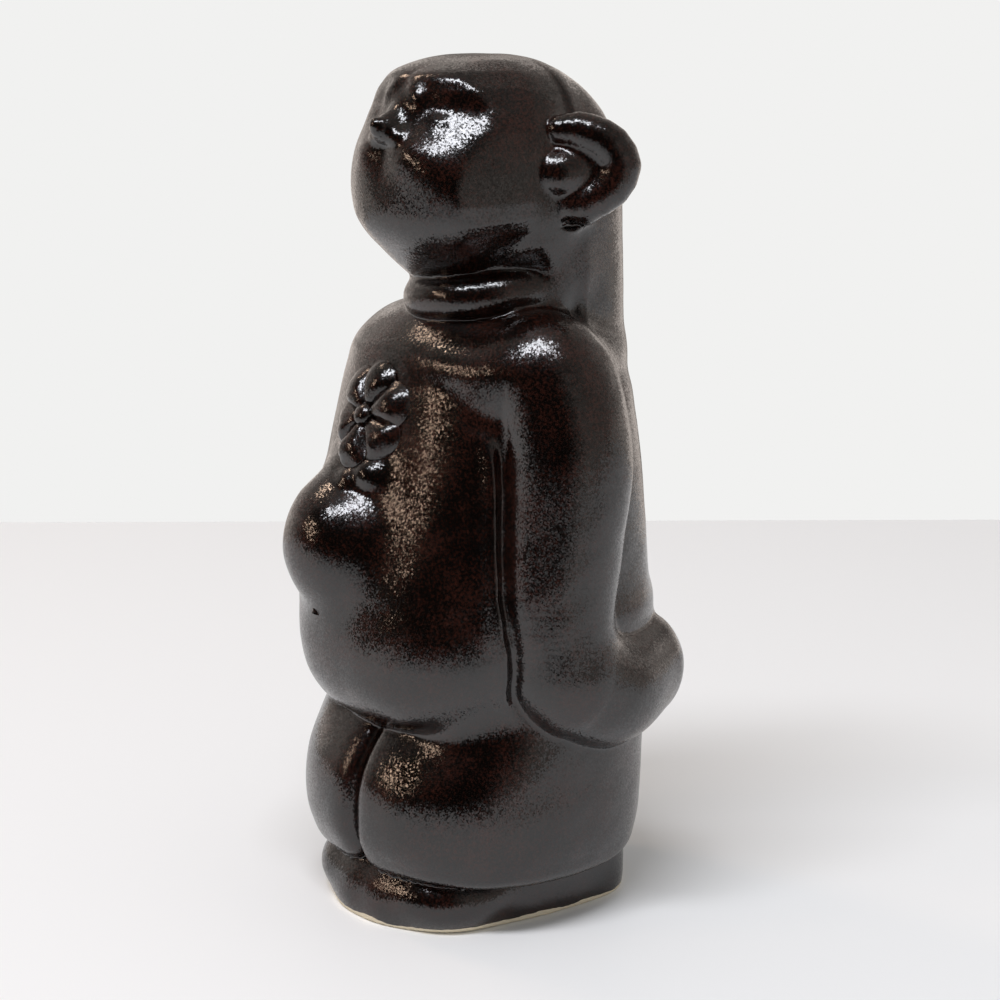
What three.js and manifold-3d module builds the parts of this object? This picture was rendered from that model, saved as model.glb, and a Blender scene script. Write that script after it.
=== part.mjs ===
// Troll figurine in dark glazed stoneware, about 100 mm tall: a stout figure that looks up and to the front,
// with a flower held to its chest in its right hand and its left arm hanging down to the hip.
// Its clay pieces are luted together with slip, and the figure is hollow, with a vent under the left foot.
// Millimetres, +Z up. The origin is the middle of the underside, the figure faces -Y and its left side is +X.
import * as THREE from "three";
import { mergeVertices } from "three/addons/utils/BufferGeometryUtils.js";
import Module from "manifold-3d";

const wasm = await Module();
wasm.setup();

// Clay
const SLIP_GAP = 0.3; // layer of slip between two luted pieces
const WALL = 4; // wall of the hollow pieces
const GLAZE_COLOUR = 0x2a1a15;
const BARE_CLAY_COLOUR = 0xd8c9b0;
const CLAY_ROUGHNESS = 0.35;
const CLAY_METALNESS = 0.1;

// Base slab, an egg-shaped sole that both shoes stand on
const SLAB_THICKNESS = 2.6;
const SOLE_HALF_WIDTH = 15.4;
const SOLE_FRONT_Y = -18.6;
const SOLE_WIDEST_Y = 7;
const SOLE_BACK_Y = 18;
const SLAB_EDGE_ROUND = 0.6;
const VENT_RADIUS = 2.5;
const VENT_X = 8;
const VENT_Y = 2;

// Shoes, which reach up into the trouser legs
const SHOE_TUCK = 1.8; // height of the shoe inside the hem
const SHOE_ROUND = 5;
const SHOE_SETBACK = 0.2; // from the slab's edge to the shoe's edge
const SHOE_MIDDLE_X = 6.5;

// Trouser legs, side by side
const HEM_RISE = 4; // above the slab
const HEM_HALF_WIDTH = 19.4;
const HEM_FRONT = 17;
const HEM_BACK = 16.6;
const HEM_ROUND = 2;
const KNEE_RISE = 7; // above the hem
const KNEE_HALF_WIDTH = 19.9;
const KNEE_FRONT = 18.2;
const KNEE_BACK = 17.9;
const LEG_OVERLAP = 2; // the belly sits this deep between the legs
const LEG_TOP_HALF_WIDTH = 18.8;
const LEG_TOP_FRONT = 16.6;
const LEG_TOP_BACK = 18;
const LEG_TOP_ROUND = 3;
const LEG_MIDDLE_X = 7.5;

// Torso, a pear with a full belly, a flat chest and a short neck; each level rises from the one below it
const WAIST_RISE = 10.4; // above the knees
const WAIST_HALF_WIDTH = 18;
const WAIST_FRONT = 18;
const WAIST_BACK = 18.2;
const BELLY_TUCK = 4; // round under the belly
const BELLY_RISE = 8;
const BELLY_HALF_WIDTH = 19.6;
const BELLY_FRONT = 20.6;
const BELLY_BACK = 19.6;
const CHEST_RISE = 15;
const CHEST_HALF_WIDTH = 19;
const CHEST_FRONT = 17.2;
const CHEST_BACK = 19.3;
const BREAST_RISE = 11;
const BREAST_HALF_WIDTH = 18.2;
const BREAST_FRONT = 13.6;
const BREAST_BACK = 18;
const SHOULDER_RISE = 9.5;
const SHOULDER_HALF_WIDTH = 14.4;
const SHOULDER_FRONT = 11;
const SHOULDER_BACK = 16;
const NECK_RISE = 4.5;
const NECK_RADIUS = 7.6;
const NECK_LENGTH = 8;
const NECK_BORE_RADIUS = 4;

// Collar, a roll of clay round the neck
const COLLAR_RISE = 1.6; // above the root of the neck
const COLLAR_ROLL_RADIUS = 2;
const COLLAR_OUTER_RADIUS = 9.2;

// Head, tilted back so that the face looks up; each level rises from the one below it
const CHIN_RISE = 3.6; // above the root of the neck
const CHIN_HALF_WIDTH = 8.6;
const CHIN_FRONT = 7.6;
const CHIN_BACK = 9;
const JAW_RISE = 4.1;
const JAW_HALF_WIDTH = 11.8;
const JAW_FRONT = 11.4;
const JAW_BACK = 11.6;
const CHEEK_RISE = 7.3;
const CHEEK_HALF_WIDTH = 13.4;
const CHEEK_FRONT = 13.2;
const CHEEK_BACK = 13;
const BROW_RISE = 7.5;
const BROW_HALF_WIDTH = 11.8;
const BROW_FRONT = 11.6;
const BROW_BACK = 12;
const CROWN_RISE = 5.5;
const CROWN_HALF_WIDTH = 5.6;
const CROWN_FRONT = 5;
const CROWN_BACK = 6;
const CROWN_ROUND = 2;
const HEAD_CAVITY_RADIUS = 8;

// Face; its levels rise from the widest part of the cheeks
const MUZZLE_RADIUS = 5.6;
const MUZZLE_RISE = 1.2;
const MUZZLE_PROUD = 1.8; // how far it stands out of the face
const CHEEK_BALL_RADIUS = 4.3;
const CHEEK_BALL_X = 6.6;
const CHEEK_BALL_RISE = 2.2;
const CHEEK_BALL_SINK = 4.9; // depth of its middle behind the face
const EYE_HALF_WIDTH = 3.2;
const EYE_HALF_HEIGHT = 1.8;
const EYE_DEPTH = 2.2;
const EYE_X = 7.2;
const EYE_RISE = 8;
const MOUTH_HALF_WIDTH = 8.6;
const MOUTH_HALF_HEIGHT = 1.2;
const MOUTH_DEPTH = 3;
const MOUTH_DROP = 2.4;
const NOSE_RADIUS = 3;
const NOSE_HALF_LENGTH = 4.2;
const NOSE_RISE = 4.4;
const NOSE_PROUD = 2.6;
const NOSE_LIFT_DEG = 25; // the tip turns up

// Ears, cupped and swept back
const EAR_REACH = 5.6; // half of its length away from the head
const EAR_HALF_HEIGHT = 6;
const EAR_HALF_THICKNESS = 3.2;
const EAR_STANDOFF = 2.2; // from the side of the head to the ear's own middle
const EAR_Y = 3.4;
const EAR_RISE = 1.2;
const EAR_SWEEP_DEG = 35;
const EAR_RIM = 1.8; // width of the rim round the cup
const EAR_CUP_DEPTH = 2.4;

// Hair, one smooth mass that hangs from the crown down the back
const HAIRLINE_Y = 0.6;
const HAIR_MIDDLE_Y = 6;
const HAIR_TOP_DROP = 1.4; // from the crown
const HAIR_TOP_HALF_WIDTH = 9.6;
const HAIR_TOP_BACK_Y = 13;
const HAIR_TOP_ROUND = 4;
const HAIR_HALF_WIDTH = 12.6;
const HAIR_THICKNESS = 4.2; // behind the head
const NAPE_DROP = 1; // below the root of the neck
const NAPE_HALF_WIDTH = 12.2;
const NAPE_BACK_Y = 18.9;
const HAIR_END_DROP = 2; // below the breast
const HAIR_END_HALF_WIDTH = 11;
const HAIR_END_THICKNESS = 1.8; // on the back
const HAIR_END_ROUND = 2;

// Arms: drop is measured down from the level named, and sink from the torso's side to the limb's own middle
const LEFT_SHOULDER = { drop: 3.5, sink: 3.4, y: 0, radius: 7.6 }; // below the shoulders
const LEFT_UPPER_ARM = { drop: 11.5, sink: 2.2, y: -0.8, radius: 7.6 }; // below the shoulders
const LEFT_ELBOW = { drop: 11, sink: 2, y: -1.5, radius: 7.5 }; // below the breast
const LEFT_WRIST = { drop: 10, sink: 2.5, y: -2.4, radius: 6.6 }; // below the chest
const LEFT_PALM = { drop: 3.6, sink: 1.8, y: -1.8, radius: 7 }; // below the belly
const LEFT_KNUCKLES = { drop: 3.8, sink: 3, y: 6, radius: 7.2 }; // below the belly
const LEFT_FINGERS = { drop: 3.4, sink: 6, y: 11.8, radius: 7.1 }; // below the belly
const RIGHT_SHOULDER = { drop: 3.5, sink: 3.8, y: 0.5, radius: 6.8 }; // below the shoulders
const RIGHT_UPPER_ARM = { drop: 11.5, sink: 3.8, y: 0, radius: 6.3 }; // below the shoulders
const RIGHT_ELBOW = { drop: 6, sink: 3.4, y: -4.6, radius: 5.4 }; // below the chest
const RIGHT_WRIST_X = -10.4;
const RIGHT_WRIST_SINK = 3.2; // behind the front of the torso
const RIGHT_WRIST_RADIUS = 5;
const FIST_X = -4;
const FIST_DROP = 2.2; // below the chest
const FIST_SINK = 1; // behind the front of the torso
const FIST_HALF_WIDTH = 6.6;
const FIST_HALF_HEIGHT = 7.4;

// Flower, lying flat on the breast, on a stem that runs down the chest under the fist
const FLOWER_X = -2.2;
const FLOWER_RISE = 1.8; // above the breast
const FLOWER_PROUD = 0.3;
const FLOWER_BUTTON_RADIUS = 2;
const PETAL_COUNT = 6;
const PETAL_LENGTH = 4;
const PETAL_THICKNESS = 3.6;
const STEM_RADIUS = 1.2;
const STEM_PROUD = 0.5;
const STEM_FOOT_DROP = 8.6; // its lower end below the middle of the fist
const STEM_BENDS = 5;

// Fineness of the facets
const RING_POINTS = 24;
const ROW_STEP = 4.4;
const ROUND_ROWS = 3;
const BALL_SEGMENTS = 14;
const BALL_RINGS = 9;
const SMALL_BALL_SEGMENTS = 10;
const SMALL_BALL_RINGS = 7;
const LIMB_SIDES = 14;
const LIMB_STEPS = 6;
const LIMB_CAP_ROWS = 3;
const STEM_SIDES = 8;
const MERGE_DISTANCE = 1e-4;

// Squareness of the horizontal sections: 2 is an ellipse, and more is nearer to a rectangle
const BODY_POWER = 2.3;
const HEAD_POWER = 2.2;
const LEG_POWER = 2;
const SPLIT_POWER = 5;

// Levels that several pieces share
const HEM_Z = SLAB_THICKNESS + HEM_RISE;
const KNEE_Z = HEM_Z + KNEE_RISE;
const WAIST_Z = KNEE_Z + WAIST_RISE;
const BELLY_Z = WAIST_Z + BELLY_RISE;
const CHEST_Z = BELLY_Z + CHEST_RISE;
const BREAST_Z = CHEST_Z + BREAST_RISE;
const SHOULDER_Z = BREAST_Z + SHOULDER_RISE;
const NECK_Z = SHOULDER_Z + NECK_RISE;
const CHIN_Z = NECK_Z + CHIN_RISE;
const JAW_Z = CHIN_Z + JAW_RISE;
const CHEEK_Z = JAW_Z + CHEEK_RISE;
const BROW_Z = CHEEK_Z + BROW_RISE;
const CROWN_Z = BROW_Z + CROWN_RISE;
const FIST_Z = CHEST_Z - FIST_DROP;
const FLOWER_Z = BREAST_Z + FLOWER_RISE;

// A solid that can be joined and cut, from a closed geometry.
function solidOf(geometry) {
  const bare = new THREE.BufferGeometry();
  bare.setAttribute("position", geometry.getAttribute("position"));
  bare.setIndex(geometry.index);
  const merged = mergeVertices(bare, MERGE_DISTANCE);
  return new wasm.Manifold(
    new wasm.Mesh({
      numProp: 3,
      vertProperties: merged.getAttribute("position").array,
      triVerts: new Uint32Array(merged.index.array),
    }),
  );
}

// A closed geometry from rings with equal numbers of points, running upwards and counter-clockwise.
function skinOf(rings, bottom, top) {
  const count = rings[0].length;
  const points = [...rings.flat(), bottom, top];
  const bottomIndex = points.length - 2;
  const topIndex = points.length - 1;
  const index = [];
  for (let i = 0; i < count; i++) {
    const next = (i + 1) % count;
    index.push(bottomIndex, next, i);
    for (let row = 0; row + 1 < rings.length; row++) {
      const low = row * count;
      const high = low + count;
      index.push(low + i, low + next, high + next);
      index.push(low + i, high + next, high + i);
    }
    const last = (rings.length - 1) * count;
    index.push(topIndex, last + i, last + next);
  }
  const geometry = new THREE.BufferGeometry().setFromPoints(points);
  return geometry.setIndex(index);
}

// An ellipsoid, tipped about its own X axis by lift and then turned about the vertical by sweep, in degrees.
function ball(centre, radii, { sweep = 0, lift = 0, small = false } = {}) {
  const segments = small ? SMALL_BALL_SEGMENTS : BALL_SEGMENTS;
  const rings = small ? SMALL_BALL_RINGS : BALL_RINGS;
  const geometry = new THREE.SphereGeometry(1, segments, rings);
  geometry.scale(...radii);
  geometry.rotateX(THREE.MathUtils.degToRad(lift));
  geometry.rotateZ(THREE.MathUtils.degToRad(sweep));
  geometry.translate(...centre);
  return solidOf(geometry);
}

// An upright round bore.
function bore(radius, x, y, low, high) {
  const geometry = new THREE.CylinderGeometry(radius, radius, high - low, RING_POINTS);
  geometry.rotateX(Math.PI / 2);
  geometry.translate(x, y, (low + high) / 2);
  return solidOf(geometry);
}

// A station of an upright outline: its reaches at height z from its own middle towards -X, +X, -Y and +Y.
function station(z, halfWidth, front, back) {
  return { z, inner: halfWidth, outer: halfWidth, front, back };
}

// Smooth reaches between stations, as a function of height that gives [inner, outer, front, back].
function outlineOf(stations, grow = 0) {
  const heights = stations.map(({ z }) => z);
  heights[0] -= grow;
  heights[heights.length - 1] += grow;
  const reaches = stations.flatMap(({ inner, outer, front, back }) => [inner, outer, front, back]);
  const grown = reaches.map((reach) => reach + grow);
  const interpolant = new THREE.CubicInterpolant(heights, grown, 4);
  return (z) => [...interpolant.evaluate(z)];
}

// Heights of a loft's rows, closer together where an end is rounded.
function rowHeights(low, high, bottomRound, topRound) {
  const curve = (round, i) => round * (1 - Math.cos(((i / ROUND_ROWS) * Math.PI) / 2));
  const roundSteps = [...Array(ROUND_ROWS).keys()];
  const from = low + bottomRound;
  const to = high - topRound;
  const rows = Math.max(1, Math.round((to - from) / ROW_STEP));
  const heights = bottomRound > 0 ? roundSteps.map((i) => low + curve(bottomRound, i)) : [];
  for (let i = 0; i <= rows; i++) {
    heights.push(from + ((to - from) * i) / rows);
  }
  const above = topRound > 0 ? roundSteps.map((i) => high - curve(topRound, i)) : [];
  return [...heights, ...above.reverse()];
}

// How far a rounded end has drawn the outline in, at a distance from that end.
function roundInset(distance, round) {
  if (distance >= round) return 0;
  return round - Math.sqrt(round * round - (round - distance) ** 2);
}

// An upright loft through stations, around its own middle at x and y. A side of -1 mirrors it.
function loft(stations, shape, grow = 0) {
  const { x = 0, y = 0, side = 1, innerPower, outerPower } = shape;
  const bottomRound = shape.bottomRound ? shape.bottomRound + grow : 0;
  const topRound = shape.topRound ? shape.topRound + grow : 0;
  const low = stations[0].z - grow;
  const high = stations[stations.length - 1].z + grow;
  const reachesAt = outlineOf(stations, grow);
  const rings = rowHeights(low, high, bottomRound, topRound).map((z) => {
    const [inner, outer, front, back] = reachesAt(z);
    const inset = roundInset(z - low, bottomRound) + roundInset(high - z, topRound);
    const ring = [];
    for (let i = 0; i < RING_POINTS; i++) {
      const angle = (2 * Math.PI * i) / RING_POINTS;
      const [c, s] = [Math.cos(angle), Math.sin(angle)];
      const power = 2 / (c > 0 ? outerPower : innerPower);
      const dx = ((c > 0 ? outer : inner) - inset) * Math.sign(c) * Math.abs(c) ** power;
      const dy = ((s > 0 ? back : front) - inset) * Math.sign(s) * Math.abs(s) ** power;
      ring.push(new THREE.Vector3(side * (x + dx), y + dy, z));
    }
    return side > 0 ? ring : ring.reverse();
  });
  const bottom = new THREE.Vector3(side * x, y, low);
  const top = new THREE.Vector3(side * x, y, high);
  return solidOf(skinOf(rings, bottom, top));
}

// Depth of the front of an even outline at height z, where it is x to the side.
function frontDepth(reachesAt, power, x, z) {
  const [halfWidth, , front] = reachesAt(z);
  return front * (1 - Math.abs(x / halfWidth) ** power) ** (1 / power);
}

// A round limb along places of { x, y, z, radius }, from the first to the last, with domed ends.
function limb(places, sides, grow = 0) {
  const points = places.map((place) => new THREE.Vector3(place.x, place.y, place.z));
  const path = new THREE.CatmullRomCurve3(points);
  const frames = path.computeFrenetFrames(LIMB_STEPS);
  const marks = places.map((_, i) => i / (places.length - 1));
  const radii = places.map((place) => place.radius + grow);
  const radiusAt = new THREE.CubicInterpolant(marks, radii, 1);
  const ringAt = (step, along, radius) => {
    const centre = path.getPointAt(step / LIMB_STEPS).addScaledVector(frames.tangents[step], along);
    return Array.from({ length: sides }, (_, i) => {
      const angle = (2 * Math.PI * i) / sides;
      const across = frames.normals[step].clone().multiplyScalar(radius * Math.cos(angle));
      return across.addScaledVector(frames.binormals[step], radius * Math.sin(angle)).add(centre);
    });
  };
  const first = radii[0];
  const last = radii[radii.length - 1];
  const rings = [];
  for (let i = 1; i < LIMB_CAP_ROWS; i++) {
    const angle = ((i / LIMB_CAP_ROWS) * Math.PI) / 2;
    rings.push(ringAt(0, -first * Math.cos(angle), first * Math.sin(angle)));
  }
  for (let step = 0; step <= LIMB_STEPS; step++) {
    const [radius] = radiusAt.evaluate(path.getUtoTmapping(step / LIMB_STEPS));
    rings.push(ringAt(step, 0, radius));
  }
  for (let i = LIMB_CAP_ROWS - 1; i > 0; i--) {
    const angle = ((i / LIMB_CAP_ROWS) * Math.PI) / 2;
    rings.push(ringAt(LIMB_STEPS, last * Math.cos(angle), last * Math.sin(angle)));
  }
  const start = points[0].clone().addScaledVector(frames.tangents[0], -first);
  const end = points[points.length - 1].clone().addScaledVector(frames.tangents[LIMB_STEPS], last);
  return solidOf(skinOf(rings, start, end));
}

// Joins solids into one.
function join(...solids) {
  return solids.reduce((whole, solid) => whole.add(solid));
}

// Cuts away from a solid all that its neighbours take up.
function trim(solid, ...neighbours) {
  return neighbours.reduce((rest, neighbour) => rest.subtract(neighbour), solid);
}

// Each piece is built whole by a function of its own. Where it has a grow, that makes the same piece larger
// all round: the space that it takes from a neighbour, with the slip between them.

// Outline of the sole at height z, drawn in by an inset.
function soleStation(z, inset) {
  const front = SOLE_WIDEST_Y - SOLE_FRONT_Y - inset;
  const back = SOLE_BACK_Y - SOLE_WIDEST_Y - inset;
  return station(z, SOLE_HALF_WIDTH - inset, front, back);
}

const soleShape = { y: SOLE_WIDEST_Y, innerPower: BODY_POWER, outerPower: BODY_POWER };

function slab(grow = 0) {
  const stations = [soleStation(0, 0), soleStation(SLAB_THICKNESS, 0)];
  return loft(stations, { ...soleShape, topRound: SLAB_EDGE_ROUND }, grow);
}

// Solid shoe with a rounded top: the sole's outline, on one side of a split with rounded corners.
function shoe(side) {
  const [low, high] = [SLAB_THICKNESS / 2, HEM_Z + SHOE_TUCK].map((z) => soleStation(z, SHOE_SETBACK));
  const both = loft([low, high], { ...soleShape, topRound: SHOE_ROUND });
  const half = (whole) => ({
    ...whole,
    inner: SHOE_MIDDLE_X - SLIP_GAP / 2,
    outer: whole.outer - SHOE_MIDDLE_X,
  });
  const shape = {
    x: SHOE_MIDDLE_X,
    y: SOLE_WIDEST_Y,
    side,
    innerPower: SPLIT_POWER,
    outerPower: LEG_POWER,
    topRound: SHOE_ROUND,
  };
  return both.intersect(loft([half(low), half(high)], shape));
}

// Stations of a trouser leg, drawn in by a wall for its cavity.
function legStations(wall, topZ) {
  const half = (z, halfWidth, front, back) => ({
    z,
    inner: LEG_MIDDLE_X - SLIP_GAP / 2 - wall,
    outer: halfWidth - LEG_MIDDLE_X - wall,
    front: front - wall,
    back: back - wall,
  });
  return [
    half(HEM_Z + wall, HEM_HALF_WIDTH, HEM_FRONT, HEM_BACK),
    half(KNEE_Z, KNEE_HALF_WIDTH, KNEE_FRONT, KNEE_BACK),
    half(topZ, LEG_TOP_HALF_WIDTH, LEG_TOP_FRONT, LEG_TOP_BACK),
  ];
}

// Trouser leg: the half of the lower body on one side of the split.
function leg(side, grow = 0) {
  const shape = {
    x: LEG_MIDDLE_X,
    side,
    innerPower: SPLIT_POWER,
    outerPower: LEG_POWER,
    bottomRound: HEM_ROUND,
    topRound: LEG_TOP_ROUND,
  };
  return loft(legStations(0, WAIST_Z + LEG_OVERLAP), shape, grow);
}

// The hollow inside a leg, open at the top.
function legCavity(side) {
  const shape = { x: LEG_MIDDLE_X, side, innerPower: SPLIT_POWER, outerPower: LEG_POWER };
  return loft(legStations(WALL, BELLY_Z), shape);
}

// Stations of the torso up to the shoulders, drawn in by a wall for its cavity.
function trunkStations(wall) {
  return [
    station(WAIST_Z, WAIST_HALF_WIDTH - wall, WAIST_FRONT - wall, WAIST_BACK - wall),
    station(BELLY_Z, BELLY_HALF_WIDTH - wall, BELLY_FRONT - wall, BELLY_BACK - wall),
    station(CHEST_Z, CHEST_HALF_WIDTH - wall, CHEST_FRONT - wall, CHEST_BACK - wall),
    station(BREAST_Z, BREAST_HALF_WIDTH - wall, BREAST_FRONT - wall, BREAST_BACK - wall),
    station(SHOULDER_Z, SHOULDER_HALF_WIDTH - wall, SHOULDER_FRONT - wall, SHOULDER_BACK - wall),
  ];
}

const neckStation = (z) => station(z, NECK_RADIUS, NECK_RADIUS, NECK_RADIUS);
const torsoStations = [...trunkStations(0), neckStation(NECK_Z), neckStation(NECK_Z + NECK_LENGTH)];
const torsoReaches = outlineOf(torsoStations);
const torsoFront = (x, z) => frontDepth(torsoReaches, BODY_POWER, x, z);

function torso(grow = 0) {
  const shape = { innerPower: BODY_POWER, outerPower: BODY_POWER, bottomRound: BELLY_TUCK };
  return loft(torsoStations, shape, grow);
}

// The hollow inside the torso, with a mouth below to the legs and a bore above to the head.
function trunkCavity() {
  const [waist, ...above] = trunkStations(WALL);
  const shoulder = above.pop();
  const mouth = station(
    waist.z,
    waist.outer - BELLY_TUCK,
    waist.front - BELLY_TUCK,
    waist.back - BELLY_TUCK,
  );
  const stations = [{ ...mouth, z: waist.z - WALL }, mouth, ...above, { ...shoulder, z: shoulder.z - WALL }];
  const shape = { innerPower: BODY_POWER, outerPower: BODY_POWER };
  return join(loft(stations, shape), bore(NECK_BORE_RADIUS, 0, 0, BREAST_Z, CHEEK_Z));
}

function collar(grow = 0) {
  const radius = COLLAR_ROLL_RADIUS + grow;
  const middle = COLLAR_OUTER_RADIUS - COLLAR_ROLL_RADIUS;
  const profile = new THREE.EllipseCurve(middle, 0, radius, radius).getPoints(BALL_RINGS);
  const geometry = new THREE.LatheGeometry(profile, RING_POINTS);
  geometry.rotateX(Math.PI / 2);
  geometry.translate(0, 0, NECK_Z + COLLAR_RISE);
  return solidOf(geometry);
}

const headStations = [
  station(CHIN_Z, CHIN_HALF_WIDTH, CHIN_FRONT, CHIN_BACK),
  station(JAW_Z, JAW_HALF_WIDTH, JAW_FRONT, JAW_BACK),
  station(CHEEK_Z, CHEEK_HALF_WIDTH, CHEEK_FRONT, CHEEK_BACK),
  station(BROW_Z, BROW_HALF_WIDTH, BROW_FRONT, BROW_BACK),
  station(CROWN_Z, CROWN_HALF_WIDTH, CROWN_FRONT, CROWN_BACK),
];
const headReaches = outlineOf(headStations);
const faceFront = (x, z) => frontDepth(headReaches, HEAD_POWER, x, z);

// Head with its muzzle and round cheeks, and with hollows for the eyes and the mouth.
function head(grow = 0) {
  const shape = { innerPower: HEAD_POWER, outerPower: HEAD_POWER, topRound: CROWN_ROUND };
  const round = (radius) => Array(3).fill(radius + grow);
  const muzzleZ = CHEEK_Z + MUZZLE_RISE;
  const muzzleY = MUZZLE_RADIUS - MUZZLE_PROUD - faceFront(0, muzzleZ);
  const cheekZ = CHEEK_Z + CHEEK_BALL_RISE;
  const cheekY = CHEEK_BALL_SINK - faceFront(CHEEK_BALL_X, cheekZ);
  const eyeZ = CHEEK_Z + EYE_RISE;
  const mouthZ = CHEEK_Z - MOUTH_DROP;
  const swellings = [ball([0, muzzleY, muzzleZ], round(MUZZLE_RADIUS))];
  const hollows = [
    ball(
      [0, -faceFront(0, mouthZ), mouthZ],
      [MOUTH_HALF_WIDTH - grow, MOUTH_DEPTH - grow, MOUTH_HALF_HEIGHT - grow],
    ),
  ];
  for (const side of [1, -1]) {
    swellings.push(ball([side * CHEEK_BALL_X, cheekY, cheekZ], round(CHEEK_BALL_RADIUS)));
    hollows.push(
      ball(
        [side * EYE_X, -faceFront(EYE_X, eyeZ), eyeZ],
        [EYE_HALF_WIDTH - grow, EYE_DEPTH - grow, EYE_HALF_HEIGHT - grow],
        { small: true },
      ),
    );
  }
  return trim(join(loft(headStations, shape, grow), ...swellings), ...hollows);
}

function nose() {
  const z = CHEEK_Z + NOSE_RISE;
  const y = NOSE_HALF_LENGTH - NOSE_PROUD - faceFront(0, z);
  return ball([0, y, z], [NOSE_RADIUS, NOSE_HALF_LENGTH, NOSE_RADIUS], { lift: -NOSE_LIFT_DEG });
}

// Ear with a cup on its front face.
function ear(side) {
  const z = CHEEK_Z + EAR_RISE;
  const x = headReaches(z)[1] + EAR_STANDOFF;
  const sweep = side * EAR_SWEEP_DEG;
  const turn = THREE.MathUtils.degToRad(EAR_SWEEP_DEG);
  const face = {
    x: x + EAR_HALF_THICKNESS * Math.sin(turn),
    y: EAR_Y - EAR_HALF_THICKNESS * Math.cos(turn),
  };
  const shell = ball(
    [side * x, EAR_Y, z],
    [EAR_REACH, EAR_HALF_THICKNESS, EAR_HALF_HEIGHT],
    { sweep },
  );
  const cup = ball(
    [side * face.x, face.y, z],
    [EAR_REACH - EAR_RIM, EAR_CUP_DEPTH, EAR_HALF_HEIGHT - EAR_RIM],
    { sweep, small: true },
  );
  return trim(shell, cup);
}

function hair(grow = 0) {
  const front = HAIR_MIDDLE_Y - HAIRLINE_Y;
  const endZ = BREAST_Z - HAIR_END_DROP;
  const endBackY = torsoReaches(endZ)[3] + HAIR_END_THICKNESS;
  const headBackY = CHEEK_BACK + HAIR_THICKNESS;
  const stations = [
    station(endZ, HAIR_END_HALF_WIDTH, front, endBackY - HAIR_MIDDLE_Y),
    station(NECK_Z - NAPE_DROP, NAPE_HALF_WIDTH, front, NAPE_BACK_Y - HAIR_MIDDLE_Y),
    station(CHEEK_Z, HAIR_HALF_WIDTH, front, headBackY - HAIR_MIDDLE_Y),
    station(CROWN_Z - HAIR_TOP_DROP, HAIR_TOP_HALF_WIDTH, front, HAIR_TOP_BACK_Y - HAIR_MIDDLE_Y),
  ];
  const shape = {
    y: HAIR_MIDDLE_Y,
    innerPower: HEAD_POWER,
    outerPower: HEAD_POWER,
    bottomRound: HAIR_END_ROUND,
    topRound: HAIR_TOP_ROUND,
  };
  return loft(stations, shape, grow);
}

// A place of an arm beside the torso, below a level of it.
function armPlace({ drop, sink, y, radius }, level, side) {
  const z = level - drop;
  return { x: side * (torsoReaches(z)[1] - sink), y, z, radius };
}

function leftArm(grow = 0) {
  const places = [
    armPlace(LEFT_SHOULDER, SHOULDER_Z, 1),
    armPlace(LEFT_UPPER_ARM, SHOULDER_Z, 1),
    armPlace(LEFT_ELBOW, BREAST_Z, 1),
    armPlace(LEFT_WRIST, CHEST_Z, 1),
  ];
  return limb(places, LIMB_SIDES, grow);
}

// The hand is turned to the back of the hip.
function leftHand() {
  const places = [LEFT_PALM, LEFT_KNUCKLES, LEFT_FINGERS].map((place) => armPlace(place, BELLY_Z, 1));
  return limb(places, LIMB_SIDES);
}

// The forearm crosses the front to the fist.
function rightArm(grow = 0) {
  const places = [
    armPlace(RIGHT_SHOULDER, SHOULDER_Z, -1),
    armPlace(RIGHT_UPPER_ARM, SHOULDER_Z, -1),
    armPlace(RIGHT_ELBOW, CHEST_Z, -1),
  ];
  const wristY = RIGHT_WRIST_SINK - torsoFront(RIGHT_WRIST_X, FIST_Z);
  places.push({ x: RIGHT_WRIST_X, y: wristY, z: FIST_Z, radius: RIGHT_WRIST_RADIUS });
  return limb(places, LIMB_SIDES, grow);
}

function rightHand() {
  const radii = [FIST_HALF_WIDTH, FIST_HALF_WIDTH, FIST_HALF_HEIGHT];
  return ball([FIST_X, FIST_SINK - torsoFront(FIST_X, FIST_Z), FIST_Z], radii);
}

// The flower leans back as the chest does, and its petals are as wide as leaves the slip between them.
const FLOWER_Y = -torsoFront(FLOWER_X, FLOWER_Z) - FLOWER_PROUD;
const PETAL_RING_RADIUS = FLOWER_BUTTON_RADIUS + SLIP_GAP + PETAL_LENGTH / 2;
const PETAL_HALF_WIDTH = PETAL_RING_RADIUS * Math.sin(Math.PI / PETAL_COUNT) - SLIP_GAP / 2;
const FLOWER_RADIUS = PETAL_RING_RADIUS + PETAL_LENGTH / 2;
const FLOWER_TILT = Math.atan2(
  torsoFront(FLOWER_X, FLOWER_Z - FLOWER_RADIUS) - torsoFront(FLOWER_X, FLOWER_Z + FLOWER_RADIUS),
  2 * FLOWER_RADIUS,
);

function flowerButton(grow = 0) {
  const radius = FLOWER_BUTTON_RADIUS + grow;
  return ball([FLOWER_X, FLOWER_Y, FLOWER_Z], [radius, radius, radius], { small: true });
}

function petal(number, grow = 0) {
  const angle = (2 * Math.PI * (number - 0.5)) / PETAL_COUNT;
  const geometry = new THREE.SphereGeometry(1, SMALL_BALL_SEGMENTS, SMALL_BALL_RINGS);
  geometry.scale(PETAL_HALF_WIDTH + grow, PETAL_THICKNESS / 2 + grow, PETAL_LENGTH / 2 + grow);
  geometry.translate(0, 0, PETAL_RING_RADIUS);
  geometry.rotateY(angle);
  geometry.rotateX(-FLOWER_TILT);
  geometry.translate(FLOWER_X, FLOWER_Y, FLOWER_Z);
  return solidOf(geometry);
}

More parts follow.
